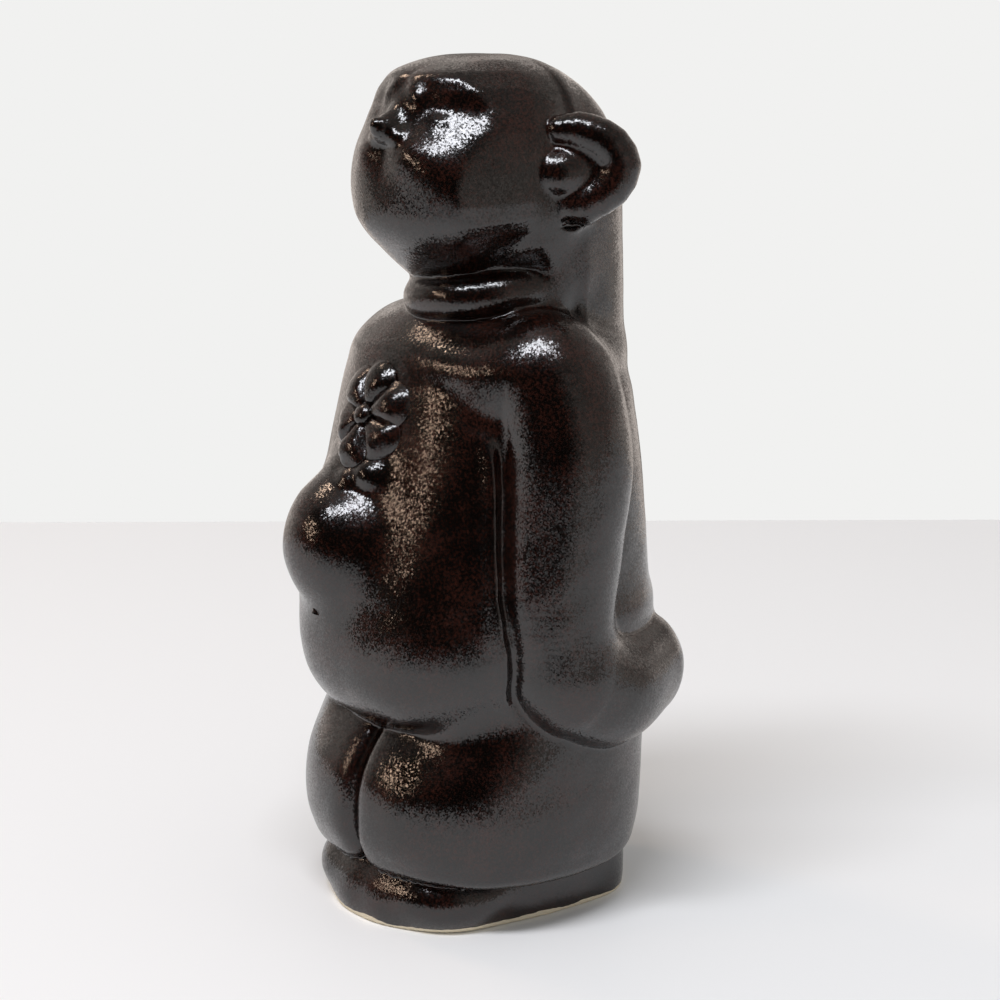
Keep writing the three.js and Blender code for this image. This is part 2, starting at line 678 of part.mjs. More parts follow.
// Stem on the chest, from the lower edge of the flower to a short end below the fist.
function stem(grow = 0) {
  const topZ = FLOWER_Z - FLOWER_RADIUS;
  const footZ = FIST_Z - STEM_FOOT_DROP;
  const places = Array.from({ length: STEM_BENDS }, (_, i) => {
    const share = i / (STEM_BENDS - 1);
    const x = THREE.MathUtils.lerp(FLOWER_X, FIST_X, share);
    const z = THREE.MathUtils.lerp(topZ, footZ, share);
    return { x, y: -torsoFront(x, z) - STEM_PROUD, z, radius: STEM_RADIUS };
  });
  return limb(places, STEM_SIDES, grow);
}

const figure = new THREE.Group();

// Puts a finished solid into the figure as a named mesh with its own material.
function place(name, solid, colour = GLAZE_COLOUR) {
  const { vertProperties, triVerts } = solid.getMesh();
  const geometry = new THREE.BufferGeometry();
  geometry.setAttribute("position", new THREE.BufferAttribute(vertProperties, 3));
  geometry.setIndex(new THREE.BufferAttribute(triVerts, 1));
  geometry.computeVertexNormals();
  const material = new THREE.MeshStandardMaterial({
    color: colour,
    roughness: CLAY_ROUGHNESS,
    metalness: CLAY_METALNESS,
  });
  const mesh = new THREE.Mesh(geometry, material);
  mesh.name = name;
  figure.add(mesh);
}

// Hollows and spaces that cut more than one piece
const trunkHollow = trunkCavity();
const skullHollow = ball([0, 0, CHEEK_Z], Array(3).fill(HEAD_CAVITY_RADIUS));
const vent = bore(VENT_RADIUS, VENT_X, VENT_Y, -SLAB_THICKNESS, KNEE_Z);
const torsoSpace = torso(SLIP_GAP);
const collarSpace = collar(SLIP_GAP);
const headSpace = head(SLIP_GAP);
const hairSpace = hair(SLIP_GAP);
const legSpaces = [leg(1, SLIP_GAP), leg(-1, SLIP_GAP)];
const petalNumbers = Array.from({ length: PETAL_COUNT }, (_, i) => i + 1);
const petalSpaces = petalNumbers.map((number) => petal(number, SLIP_GAP));

place("base_slab", trim(slab(), vent), BARE_CLAY_COLOUR);
place("torso", trim(torso(), trunkHollow));
place("collar", trim(collar(), torsoSpace));
place("head", trim(head(), torsoSpace, collarSpace, skullHollow, trunkHollow));
place("nose", trim(nose(), headSpace));
place("hair", trim(hair(), headSpace, collarSpace, torsoSpace));

for (const [name, side] of [["left", 1], ["right", -1]]) {
  place(`${name}_leg`, trim(leg(side), torsoSpace, legCavity(side), vent));
  place(`${name}_shoe`, trim(shoe(side), slab(SLIP_GAP), ...legSpaces, vent));
  place(`${name}_ear`, trim(ear(side), headSpace, hairSpace));
}

place("left_arm", trim(leftArm(), torsoSpace, hairSpace, collarSpace));
place("left_hand", trim(leftHand(), torsoSpace, leftArm(SLIP_GAP), ...legSpaces));
place("right_arm", trim(rightArm(), torsoSpace, hairSpace, collarSpace, stem(SLIP_GAP)));
place("right_hand", trim(rightHand(), torsoSpace, rightArm(SLIP_GAP), stem(SLIP_GAP)));
place("flower_stem", trim(stem(), torsoSpace, ...petalSpaces));
place("flower_centre", trim(flowerButton(), torsoSpace));
for (const number of petalNumbers) {
  place(`petal_${number}`, trim(petal(number), torsoSpace, flowerButton(SLIP_GAP)));
}

export default figure;
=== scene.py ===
# %% [markdown]
# # A glazed stoneware troll
# On the shelf this troll is one dark, satin-glazed lump, but it was made from clay pieces that were
# pressed, rolled and luted together, and those pieces keep their own names here. The imported model gives
# every piece its place, so it comes in first.

# %% Load the imported figure
import math

import bpy
import numpy as np
from mathutils import Matrix, Vector


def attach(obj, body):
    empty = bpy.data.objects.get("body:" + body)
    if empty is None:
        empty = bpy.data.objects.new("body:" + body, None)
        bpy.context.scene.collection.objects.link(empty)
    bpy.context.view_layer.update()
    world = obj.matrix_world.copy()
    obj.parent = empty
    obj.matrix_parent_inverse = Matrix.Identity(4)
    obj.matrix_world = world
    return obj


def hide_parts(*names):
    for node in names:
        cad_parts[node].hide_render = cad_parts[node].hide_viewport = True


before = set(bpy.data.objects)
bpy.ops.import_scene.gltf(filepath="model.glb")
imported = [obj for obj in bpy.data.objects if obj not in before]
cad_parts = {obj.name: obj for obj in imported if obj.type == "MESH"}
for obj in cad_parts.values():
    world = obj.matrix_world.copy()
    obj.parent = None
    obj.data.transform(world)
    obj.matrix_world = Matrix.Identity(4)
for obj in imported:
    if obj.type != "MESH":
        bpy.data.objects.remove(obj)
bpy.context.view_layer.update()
MM = 0.001

# %% [markdown]
# ## Camera
# The picture was taken from the figure's left front, a little above its head, by a lens that stood about a
# quarter of a metre away. A long lens on a small sensor gives the same flat perspective, so the camera
# takes its place from the distance, the height and the two angles that fit the picture.

# %% Camera
AZIMUTH = math.radians(50)
CAMERA_DISTANCE = 264 * MM
CAMERA_HEIGHT = 112 * MM
CAMERA_PITCH = math.radians(13.66)
FOCAL_PIXELS = 2287
PICTURE_PIXELS = 1000
AXIS_LEFT_PIXELS = 25
SENSOR = 36.0

to_camera = Vector((math.sin(AZIMUTH), -math.cos(AZIMUTH), 0))
aside = Vector((math.cos(AZIMUTH), math.sin(AZIMUTH), 0))
up = Vector((0, 0, 1))
yaw = math.atan2(AXIS_LEFT_PIXELS, FOCAL_PIXELS)
level_look = -to_camera * math.cos(yaw) + aside * math.sin(yaw)
forward = level_look * math.cos(CAMERA_PITCH) - up * math.sin(CAMERA_PITCH)
lens = bpy.data.cameras.new("camera")
lens.sensor_width = SENSOR
lens.lens = SENSOR * FOCAL_PIXELS / PICTURE_PIXELS
lens.clip_start = 10 * MM
camera = bpy.data.objects.new("camera", lens)
camera.location = to_camera * CAMERA_DISTANCE + up * CAMERA_HEIGHT
camera.rotation_euler = forward.to_track_quat("-Z", "Y").to_euler()
bpy.context.scene.collection.objects.link(camera)
bpy.context.scene.camera = camera
bpy.context.scene.view_settings.view_transform = "Standard"
print("camera at", [round(v / MM) for v in camera.location], "mm, lens", round(lens.lens, 1), "mm")

# %% [markdown]
# ## Colours and nodes
# Paint charts and screens give colours as sRGB, while shaders count light, so one function turns a hex
# colour to linear numbers. Another adds a shader or geometry node, sets it and links it, where a node
# stands for its first output, so that each finish below reads as a short list.

# %% Colour and node helpers
def linear(hex_colour):
    parts = [int(hex_colour[i:i + 2], 16) / 255 for i in (1, 3, 5)]
    return tuple(c / 12.92 if c <= 0.04045 else ((c + 0.055) / 1.055) ** 2.4 for c in parts) + (1.0,)


def add(tree, kind, inputs=None, **settings):
    node = tree.nodes.new(kind)
    for name, value in settings.items():
        setattr(node, name, value)
    for name, value in (inputs or {}).items():
        if isinstance(value, bpy.types.Node):
            value = value.outputs[0]
        if isinstance(value, bpy.types.NodeSocket):
            tree.links.new(value, node.inputs[name])
        else:
            node.inputs[name].default_value = value
    return node


print("a brown of #2c130c in linear light:", [round(c, 4) for c in linear("#2c130c")])

# %% [markdown]
# ## The room in the glaze
# The figure stands on a white table in a white room, with a dark room behind the photographer. That
# darkness is what the front of the glaze mirrors, and it is why the body looks black there and grey at its
# sides. A picture of a room could be wrapped round the scene, but a few nodes are enough: walls that dim
# towards the camera and with height, a slow noise for the things that stand about in any room, and one dark
# opening ahead of the figure.

# %% The mirrored room
BACK_WALL, SIDE_WALL = 0.78, 0.34
OPENING = (0.18, -0.98, 0.1)
CLUTTER_SCALE = 9.0

world = bpy.data.worlds.new("white room")
bpy.context.scene.world = world
world.use_nodes = True
tree = world.node_tree
tree.nodes.clear()
where = add(tree, "ShaderNodeTexCoord").outputs["Generated"]
nearer = add(tree, "ShaderNodeVectorMath", {0: where, 1: to_camera}, operation="DOT_PRODUCT").outputs["Value"]
higher = add(tree, "ShaderNodeSeparateXYZ", {0: where}).outputs["Z"]
things = add(tree, "ShaderNodeTexNoise", {"Vector": where, "Scale": CLUTTER_SCALE, "Detail": 1.0})
ahead = add(tree, "ShaderNodeVectorMath", {0: where, 1: OPENING}, operation="DOT_PRODUCT").outputs["Value"]
ROOM = (  # what is read, where its change starts and ends, the light at both, and how it changes
    (nearer, -0.9, 0.2, BACK_WALL, SIDE_WALL, "LINEAR"),
    (higher, -0.3, 0.7, 1.25, 0.6, "LINEAR"),
    (things, 0.35, 0.65, 0.3, 1.7, "LINEAR"),
    (ahead, 0.3, 0.74, 1.0, 0.01, "SMOOTHSTEP"),
)
room_light = 1.0
for value, start, end, first, last, change in ROOM:
    share = add(tree, "ShaderNodeMapRange", {
        "Value": value, "From Min": start, "From Max": end, "To Min": first, "To Max": last,
    }, interpolation_type=change)
    room_light = add(tree, "ShaderNodeMath", {0: room_light, 1: share}, operation="MULTIPLY")
print("room: back wall", BACK_WALL, "side walls", SIDE_WALL, "from", len(ROOM), "rules")

# %% [markdown]
# ## The rest of the world
# Only glossy rays see that room. Diffuse light comes evenly from all sides, as between white walls, and the
# camera sees one plain white wall behind the table. Light Path tells the kinds of ray apart.

# %% World
EVEN_LIGHT = 0.46
MIRRORED_WALL, SEEN_WALL = "#fff3ea", "#f1f1f0"

mirrored = add(tree, "ShaderNodeBackground", {"Color": linear(MIRRORED_WALL), "Strength": room_light})
even = add(tree, "ShaderNodeBackground", {"Color": linear("#ffffff"), "Strength": EVEN_LIGHT})
seen = add(tree, "ShaderNodeBackground", {"Color": linear(SEEN_WALL), "Strength": 1.0})
rays = add(tree, "ShaderNodeLightPath").outputs
gloss = add(tree, "ShaderNodeMath", {
    0: rays["Is Glossy Ray"], 1: rays["Is Transmission Ray"],
}, operation="MAXIMUM")
lit = add(tree, "ShaderNodeMixShader", {0: gloss, 1: even, 2: mirrored})
pick = add(tree, "ShaderNodeMixShader", {0: rays["Is Camera Ray"], 1: lit, 2: seen})
add(tree, "ShaderNodeOutputWorld", {"Surface": pick})
print("even light:", EVEN_LIGHT, "seen wall:", SEEN_WALL)

# %% [markdown]
# ## Table
# The table is white lacquer: one flat quad, since nothing but its top is ever seen. Its edge behind the
# figure gives the faint line in the picture. Towards the photographer it fades out into the backdrop, so
# that the glaze has no hard white edge to mirror there, which a plain large floor would give it.

# %% Table
TABLE = [(-900, 179), (-900, -420), (900, -420), (900, 179)]  # mm to the right and behind
FADE_START, FADE_END = 38 * MM, 290 * MM

top = bpy.data.meshes.new("table")
top.from_pydata([(aside * s - to_camera * b) * MM for s, b in TABLE], [], [(0, 1, 2, 3)])
table = bpy.data.objects.new("table", top)
bpy.context.scene.collection.objects.link(table)
paint = bpy.data.materials.new("white lacquered table")
paint.use_nodes = True
tree = paint.node_tree
tree.nodes.clear()
spot = add(tree, "ShaderNodeTexCoord").outputs["Object"]
toward = add(tree, "ShaderNodeVectorMath", {0: spot, 1: to_camera}, operation="DOT_PRODUCT").outputs["Value"]
gone = add(tree, "ShaderNodeMapRange", {
    "Value": toward, "From Min": FADE_START, "From Max": FADE_END,
}, interpolation_type="SMOOTHSTEP")
# Satin lacquer scatters widely, so the figure's reflection in it stays faint.
lacquer = add(tree, "ShaderNodeBsdfPrincipled", {
    "Base Color": linear("#f0f0ef"), "Roughness": 0.5, "Specular IOR Level": 0.2,
})
air = add(tree, "ShaderNodeBsdfTransparent")
fading = add(tree, "ShaderNodeMixShader", {0: gone, 1: lacquer, 2: air})
add(tree, "ShaderNodeOutputMaterial", {"Surface": fading})
top.materials.append(paint)
print("table edge behind the figure at", TABLE[0][1], "mm")

# %% [markdown]
# ## Lamps
# Three lights can be read off the highlights. A wide skylight above the camera gives the white ones, a
# narrow warm doorway at the left the bronze streak down the chest, and a small warm lamp behind the left
# the arch on the shoulder. Area lights show their own shape in a glossy glaze, which a point or a sun would
# not, so each is a rectangle whose brightness is written as radiance: a larger box then gives more light,
# not a whiter highlight.

# %% Lamps
LAMP_DISTANCE = 900 * MM
AIM_HEIGHT = 50 * MM
WARM = "#ffdcc0"
LAMPS = (  # name, where it stands, width and height in metres, radiance, colour
    ("skylight", up - aside * 0.25 + to_camera * 0.46, (0.66, 0.14), 21.0, "#f6f8ff"),
    ("warm doorway", Vector((-0.42, -0.9, 0.36)), (0.03, 0.36), 20.0, WARM),
    ("warm shelf lamp", up * 0.77 - to_camera * 0.37 - aside * 0.53, (0.16, 0.07), 18.0, WARM),
)

for name, direction, size, radiance, colour in LAMPS:
    lamp = bpy.data.lights.new(name, "AREA")
    lamp.shape = "RECTANGLE"
    lamp.size, lamp.size_y = size
    lamp.energy = radiance * math.pi * size[0] * size[1]
    lamp.color = linear(colour)[:3]
    back = direction.normalized()
    across = (aside - aside.dot(back) * back).normalized()
    stand = Matrix((across, back.cross(across), back)).transposed().to_4x4()
    stand.translation = back * LAMP_DISTANCE + up * AIM_HEIGHT
    box = bpy.data.objects.new(name, lamp)
    box.matrix_world = stand
    bpy.context.scene.collection.objects.link(box)
    print(name, round(lamp.energy, 2), "W")

# %% [markdown]
# ## Clay as distances
# Pressed clay has no hard seams: where two lumps meet, a finger or the glaze fills the crease. A field says
# how far each point in space is from a form's surface, below zero inside it, and a soft minimum of two
# fields joins them with a fillet of any width. Metaballs or a voxel remesh would join forms too, but with
# one softness for all of them, while this body needs a tight crease under the belly and a wide flow over
# the shoulder.

# %% Soft joins
def soft_min(a, b, width):
    overlap = np.maximum(width - np.abs(a - b), 0) / width
    return np.minimum(a, b) - overlap**3 * width / 6


def soft_max(a, b, width):
    return -soft_min(-a, -b, width)


def ramp(value, low, high):
    share = np.clip((value - low) / (high - low), 0, 1)
    return share * share * (3 - 2 * share)


print("two surfaces 0 apart, joined 3 mm wide, swell by", -soft_min(np.zeros(1), np.zeros(1), 3.0)[0], "mm")

# %% [markdown]
# ## Balls and limbs
# Nearly all of the figure is balls, rolls and columns of clay. A stretched ball has a distance that is
# nearly right close to its surface. A limb is a roll with its own radius at each place along a smooth path.
# Both take a whole array of points at once, in millimetres, which keeps Python fast.

# %% Balls and limbs
def ball(p, centre, radii, turn=0):
    turn = math.radians(turn)
    about_z = [[math.cos(turn), -math.sin(turn), 0], [math.sin(turn), math.cos(turn), 0], [0, 0, 1]]
    q = (p - np.array(centre, np.float32)) @ np.array(about_z, np.float32)
    q /= np.array(radii, np.float32)
    near = np.sqrt((q * q).sum(1))
    q /= np.array(radii, np.float32)
    return near * (near - 1) / np.maximum(np.sqrt((q * q).sum(1)), 1e-6)


def blend(s, start, end, start_slope, end_slope):
    near = (2 * s**3 - 3 * s**2 + 1) * start + (s**3 - 2 * s**2 + s) * start_slope
    far = (-2 * s**3 + 3 * s**2) * end + (s**3 - s**2) * end_slope
    return near + far


def curve_through(rows, count):
    rows = np.array(rows, float)
    slopes = np.gradient(rows, axis=0)
    at = np.linspace(0, len(rows) - 1, count)
    i = np.minimum(at.astype(int), len(rows) - 2)
    return blend((at - i)[:, None], rows[i], rows[i + 1], slopes[i], slopes[i + 1]).astype(np.float32)


def limb(p, places, pieces):
    path = curve_through(places, pieces + 1)
    nearest = np.full(len(p), 1e3, np.float32)
    for a, b in zip(path, path[1:]):
        along = b[:3] - a[:3]
        share = np.clip(((p - a[:3]) @ along) / (along @ along), 0, 1)
        off = p - a[:3] - share[:, None] * along
        nearest = np.minimum(nearest, np.sqrt((off * off).sum(1)) - a[3] - share * (b[3] - a[3]))
    return nearest


print("a ball of 2 mm, seen from 5 mm:", ball(np.array([[5.0, 0, 0]]), (0, 0, 0), (2, 2, 2))[0], "mm away")

# %% [markdown]
# ## Columns
# A column is a stack of rounded outlines, each a height with its half width, front depth and back depth.
# Between them it follows a smooth curve. A power above 2 makes an outline a little squarer than an ellipse,
# as trousers and shoulders are. Halving the way in from the front then measures where any form's front
# lies.

# %% Columns
LEVELS = 240


def column(p, rows, middle_y, power):
    rows = np.array(rows, float)
    heights = np.linspace(rows[0, 0], rows[-1, 0], LEVELS)
    i = np.clip(np.searchsorted(rows[:, 0], heights) - 1, 0, len(rows) - 2)
    step = (rows[i + 1, 0] - rows[i, 0])[:, None]
    s = (heights - rows[i, 0])[:, None] / step
    slopes = np.gradient(rows[:, 1:], rows[:, 0], axis=0)
    sizes = blend(s, rows[i, 1:], rows[i + 1, 1:], step * slopes[i], step * slopes[i + 1])
    width, front, back = (np.interp(p[:, 2], heights, v).astype(np.float32) for v in sizes.T)
    y = p[:, 1] - middle_y
    depth = np.where(y < 0, front, back)
    ratio = (np.abs(p[:, 0] / width) ** power + np.abs(y / depth) ** power) ** (1 / power)
    reach = np.sqrt(p[:, 0] ** 2 + y * y)
    return np.where(ratio > 1e-3, reach - reach / np.maximum(ratio, 1e-3), -np.minimum(width, depth))


def front_at(form, x, z, start=-30.0, end=0.0):
    x, z = np.broadcast_arrays(np.asarray(x, np.float32), np.asarray(z, np.float32))
    low, high = np.full(x.shape, start), np.full(x.shape, end)
    for _ in range(26):
        middle = (low + high) / 2
        place = np.stack([x.ravel(), middle.ravel(), z.ravel()], 1).astype(np.float32)
        outside = form(place).reshape(x.shape) > 0
        low, high = np.where(outside, middle, low), np.where(outside, high, middle)
    return high


print("columns follow", LEVELS, "levels between their outlines")

# %% [markdown]
# ## Feet and legs
# The trousers are two fat barrels pressed together, set on one slab of shoes with a dent between the toes.
# Each barrel is half of one column, rounded off where it meets the other, so that the split closes to a
# crease and does not gape. A vent hole in the sole let the air out in the kiln.

# %% Feet and legs
SQUARISH, ROUNDISH = 2.3, 2.2
SOLE = [
    (0, 15, 25.5, 9.2), (1.5, 15.2, 25.8, 9.3), (3, 15.2, 25.7, 9.3), (5, 15.1, 25, 9.3), (7, 15, 23.4, 9.3),
    (9, 14.6, 21, 9), (11, 13.4, 18, 8),
]
SOLE_MIDDLE, SHOE_TOP, SHOE_EDGE, SOLE_EDGE = 7.0, 10.5, 3.0, 0.5
TOES, TOES_SIZE, TOES_JOIN = (6.4, -8.7, 3.2), (7.6, 8.6, 5.2), 2.0
TOE_VALLEY = [(0.8, -21.7, 1, 1.6), (0.8, -20.6, 6, 1.8), (0.8, -17, 10, 2.2)]
VALLEY_EDGE = 3.0
VENT, VENT_RADIUS, VENT_DEPTH, VENT_EDGE = (8, 2), 2.5, 8, 0.4
TROUSERS = [
    (4.5, 17.2, 15.8, 14.6), (6.6, 19.2, 17.9, 16.4), (9, 19.9, 19.1, 17.3), (13.6, 20.2, 19.7, 17.9),
    (18, 19.9, 18.9, 18.4), (21, 19.7, 17.1, 18.9), (24, 19.4, 14.8, 19), (28, 18.8, 12.8, 18.4),
    (34, 17.4, 11, 17),
]
TROUSER_HEM, WAIST, HEM_EDGE, SPLIT_ROUND = 6.0, 34, 2.0, 5.0


def feet(p):
    sole = soft_max(column(p, SOLE, SOLE_MIDDLE, SQUARISH), p[:, 2] - SHOE_TOP, SHOE_EDGE)
    for side in (1, -1):
        sole = soft_min(sole, ball(p, (side * TOES[0], TOES[1], TOES[2]), TOES_SIZE), TOES_JOIN)
    sole = soft_max(sole, -limb(p, TOE_VALLEY, 4), VALLEY_EDGE)
    sole = soft_max(sole, -p[:, 2], SOLE_EDGE)
    vent = np.sqrt((p[:, 0] - VENT[0]) ** 2 + (p[:, 1] - VENT[1]) ** 2) - VENT_RADIUS
    return soft_max(sole, -np.maximum(vent, p[:, 2] - VENT_DEPTH), VENT_EDGE)


def leg(p, side):
    both = soft_max(column(p, TROUSERS, 0.0, SQUARISH), TROUSER_HEM - p[:, 2], HEM_EDGE)
    both = soft_max(both, p[:, 2] - WAIST, HEM_EDGE)
    return soft_max(both, -side * p[:, 0], SPLIT_ROUND)


print("toes reach to y", np.round(front_at(feet, TOES[0], TOES[2]), 1), "mm")

# %% [markdown]
# ## Trunk and left arm
# The trunk swells to a belly over the trousers. The left arm is a roll laid along the side, with its hand
# turned behind the hip. A tool drew a groove along the front of the arm and pushed up a fine lip beside it.
# Neither needs a piece of its own: they are a dent and a swelling of the trunk at set distances from the
# arm.

# %% Trunk and left arm
TRUNK = [
    (21, 16, 12.6, 16.5), (23.4, 17.4, 15.4, 18), (25.5, 18.4, 18, 18.6), (28, 19.1, 19.7, 19.1),
    (32, 19.6, 20.6, 19.6), (40, 19.5, 19.3, 19.7), (47, 19, 17.3, 19.3), (58, 18.2, 13.9, 18),
    (63.5, 16.8, 12.4, 17.2), (67.5, 14.6, 11.2, 15.8), (69.6, 11.4, 9.2, 12.8), (71, 9, 7.4, 11),
    (73, 7.8, 6.4, 10.6), (76, 9, 6.8, 10.8), (78.5, 10.2, 7.4, 11), (84, 10.4, 7.6, 10.4),
]
BELLY_HEM, HEM_CURVE, TRUNK_TOP = 22.2, 0.028, 84
SIDES = (5, 13)
LEFT_ARM = [
    (10.8, -3.6, 63, 6.2), (14, -1.4, 64.8, 7.3), (16.6, -0.8, 57, 7.6), (16.4, -1.6, 47, 7.5),
    (16.3, -2.4, 39, 7.2), (16.9, -2, 32.5, 6.6),
]
LEFT_HAND = [(17.5, -0.6, 29.7, 6.5), (17, 4.4, 27.9, 7.1), (13.4, 11.8, 28.2, 7.2)]
GROOVE_DEPTH, GROOVE_AT = 0.8, 0.2
LIP_HEIGHT, LIP_AT, LIP_WIDTH = 0.7, 2.0, 0.8
GROOVE_SIDE, GROOVE_START, GROOVE_END = (-1, 3), (24, 29), (55, 61)


def left_arm(p):
    return limb(p, LEFT_ARM, 44)


def left_hand(p):
    return limb(p, LEFT_HAND, 24)


def torso(p):
    hem = BELLY_HEM + HEM_CURVE * p[:, 0] ** 2
    trunk = soft_max(column(p, TRUNK, 0.0, SQUARISH), hem - p[:, 2], 2.5 + 5 * ramp(np.abs(p[:, 0]), *SIDES))
    apart = limb(p, LEFT_ARM, 12)
    along = ramp(-p[:, 1], *GROOVE_SIDE) * ramp(p[:, 2], *GROOVE_START) * (1 - ramp(p[:, 2], *GROOVE_END))
    groove = GROOVE_DEPTH * np.exp(-((apart - GROOVE_AT) ** 2))
    lip = LIP_HEIGHT * np.exp(-(((apart - LIP_AT) / LIP_WIDTH) ** 2))
    return soft_max(trunk + (groove - lip) * along, p[:, 2] - TRUNK_TOP, 1.0)


print("belly reaches to y", np.round(front_at(torso, 0, 32), 1), "mm")

# %% [markdown]
# ## Right arm and fist
# The right arm comes forward from the shoulder and ends in a fist below the chest, which holds the flower's
# stem. The fist is a ball with a thumb rolled onto it and two small knuckles beside the stem.

# %% Right arm and fist
RIGHT_ARM = [(-11.4, 0.5, 63.6, 7), (-14.2, 0, 56, 6.5), (-15.2, -4.4, 42, 5.9), (-10.4, -12.6, 43.5, 5.6)]
FIST, FIST_SIZE = (-4.4, -15.9, 44.4), (7.6, 7.3, 7.8)
THUMB, THUMB_JOIN = [(-5.6, -14.6, 48, 5), (-4.4, -12.6, 53.4, 2.8)], 4.0
KNUCKLES, KNUCKLE_SIZE, KNUCKLE_JOIN = ((-2.4, -16.6, 52.2), (-0.2, -15.5, 53.2)), (1.4, 1.4, 1.2), 1.2


def right_arm(p):
    return limb(p, RIGHT_ARM, 10)


def right_hand(p):
    fist = soft_min(ball(p, FIST, FIST_SIZE), limb(p, THUMB, 2), THUMB_JOIN)
    for knuckle in KNUCKLES:
        fist = soft_min(fist, ball(p, knuckle, KNUCKLE_SIZE), KNUCKLE_JOIN)
    return fist


print("fist reaches to y", np.round(front_at(right_hand, FIST[0], FIST[2], -30, -15), 1), "mm")

# %% [markdown]
# ## Head
# The skull is a column that is wide at the jaw and drops to the front. Its face is pressed in with a
# finger: brow, eye, lid, cheek and chin are low ridges and hollows along short paths. Sculpting would do as
# well, but a path with a height and a width can be read and changed. The far half keeps the inner ends of
# brow and eye, as the far outline in the picture is smooth. One plane cuts the flat temple.

# %% Head
SKULL = [
    (74, 7.2, 7.2, 8), (76, 8.9, 9, 9.2), (78, 10.5, 10.7, 10.4), (80, 12.1, 12.2, 11.5),
    (81.6, 12.9, 13, 12.2), (84, 13.35, 13.4, 12.8), (87.5, 13.4, 13.3, 13), (90, 13.2, 12.8, 12.9),
    (92, 12.8, 11.9, 12.6), (94, 12, 11.3, 11.8), (96.5, 10.6, 10.3, 10.2), (98.4, 8.4, 8.2, 7.9),
    (99.5, 5.6, 5.2, 5.3), (100, 3.2, 3, 3),
]
FACE = [  # height, width, share of it on the far side, path
    (0.9, 1.9, 0.2, [(1.6, -10, 99.2), (5.2, -8.2, 99.6), (8.4, -5.8, 99.3)]),
    (-0.3, 1.5, 0.2, [(4.6, -9.8, 95.6), (6.8, -8.9, 95.4), (8.8, -7.4, 95)]),
    (-0.6, 1.9, 0.2, [(4.6, -10.6, 94.4), (6.8, -9.4, 94.2), (9.2, -7.7, 94)]),
    (0.3, 0.9, 0.2, [(1.8, -10.4, 96.6), (3.4, -10.9, 95.2), (5, -11, 94.2), (6.6, -10.3, 93.6)]),
    (1.05, 3.0, 0.3, [(4.2, -12.6, 89.2), (7.4, -11.2, 87.7), (10.2, -9, 86.2)]),
    (0.7, 3.4, 0.4, [(0, -12.8, 82.6), (4, -12, 82.6), (8, -10.2, 83.2)]),
]
FACE_MIDDLE = (-7.5, -2.5)
JAW_SLOPE, JAW_PIVOT, JAW = 0.16, 11, (79, 87)
SKULL_TOP, SKULL_END = 99.9, 74.8
TEMPLE = math.radians(68)
TEMPLE_TAPER, TEMPLE_TALL, TEMPLE_EDGE = 0.022, (86, 96), 0.7
TEMPLE_BACK, TEMPLE_EASE = 2, 0.6


def both_sides(p):
    return np.stack([np.abs(p[:, 0]), p[:, 1], p[:, 2]], 1)


def head(p):
    q, folded = p.copy(), both_sides(p)
    q[:, 2] -= JAW_SLOPE * (p[:, 1] + JAW_PIVOT) * (1 - ramp(p[:, 2], *JAW))
    skull = soft_max(column(q, SKULL, 0.0, ROUNDISH), p[:, 2] - SKULL_TOP, 1.6)
    nearness = ramp(p[:, 0], *FACE_MIDDLE)
    for height, width, far_share, path in FACE:
        thin_path = [place + (0,) for place in path]
        strength = far_share + (1 - far_share) * nearness
        skull = skull - height * strength * np.exp(-((limb(folded, thin_path, 6) / width) ** 2))
    heights, widths = np.array(SKULL)[:, 0], np.array(SKULL)[:, 1]
    side = (1.0 - TEMPLE_TAPER * ramp(p[:, 2], *TEMPLE_TALL)) * np.interp(q[:, 2], heights, widths)
    flat = folded[:, 0] * math.sin(TEMPLE) - folded[:, 1] * math.cos(TEMPLE) - side
    flat = np.where(p[:, 1] < TEMPLE_BACK, flat, flat - TEMPLE_EASE * (p[:, 1] - TEMPLE_BACK))
    return soft_max(soft_max(skull, flat, TEMPLE_EDGE), SKULL_END - p[:, 2], 1.0)


print("chin reaches to y", np.round(front_at(head, 0, 84), 1), "mm")

# %% [markdown]
# ## Nose and ears
# The upturned nose is a small limb that runs out into the brow, with two soft wings. Each ear is a rolled
# rim round a thin web, with a lump of clay at its root. A torus would be as thick all round, while this rim
# thins out where it meets the head.

# %% Nose and ears
NOSE = [
    (0, -14, 92.6, 0.9), (0, -12.8, 92.1, 1.6), (0, -11, 93.2, 1.4), (0, -9.2, 94.8, 1.0), (0, -7.4, 96, 0.4),
]
WING, WING_SIZE, WING_JOIN = (1.7, -12, 91.2), (1.4, 1.5, 1.2), 1.4
EAR_RIM = [
    (13.2, 1.3, 92.1, 1.6), (14.8, 2.9, 92, 2.1), (17, 4.9, 90.8, 2.2), (18, 6, 88.2, 2.2),
    (17, 4.9, 85.4, 2.2), (14.8, 2.8, 84, 2), (13, 1.6, 84.8, 1.2),
]
EAR_WEB, EAR_WEB_SIZE, EAR_WEB_JOIN = (15, 3.7, 88.2), (4.6, 1.7, 4.8), 1.2
EAR_ROOT, EAR_ROOT_SIZE, EAR_ROOT_JOIN = (13.3, 0.9, 87.4), (3.2, 2.4, 2.6), 1.4
EAR_TURN = 46


def nose(p):
    ridge = limb(p, NOSE, 8)
    for side in (1, -1):
        ridge = soft_min(ridge, ball(p, (side * WING[0], WING[1], WING[2]), WING_SIZE), WING_JOIN)
    return ridge


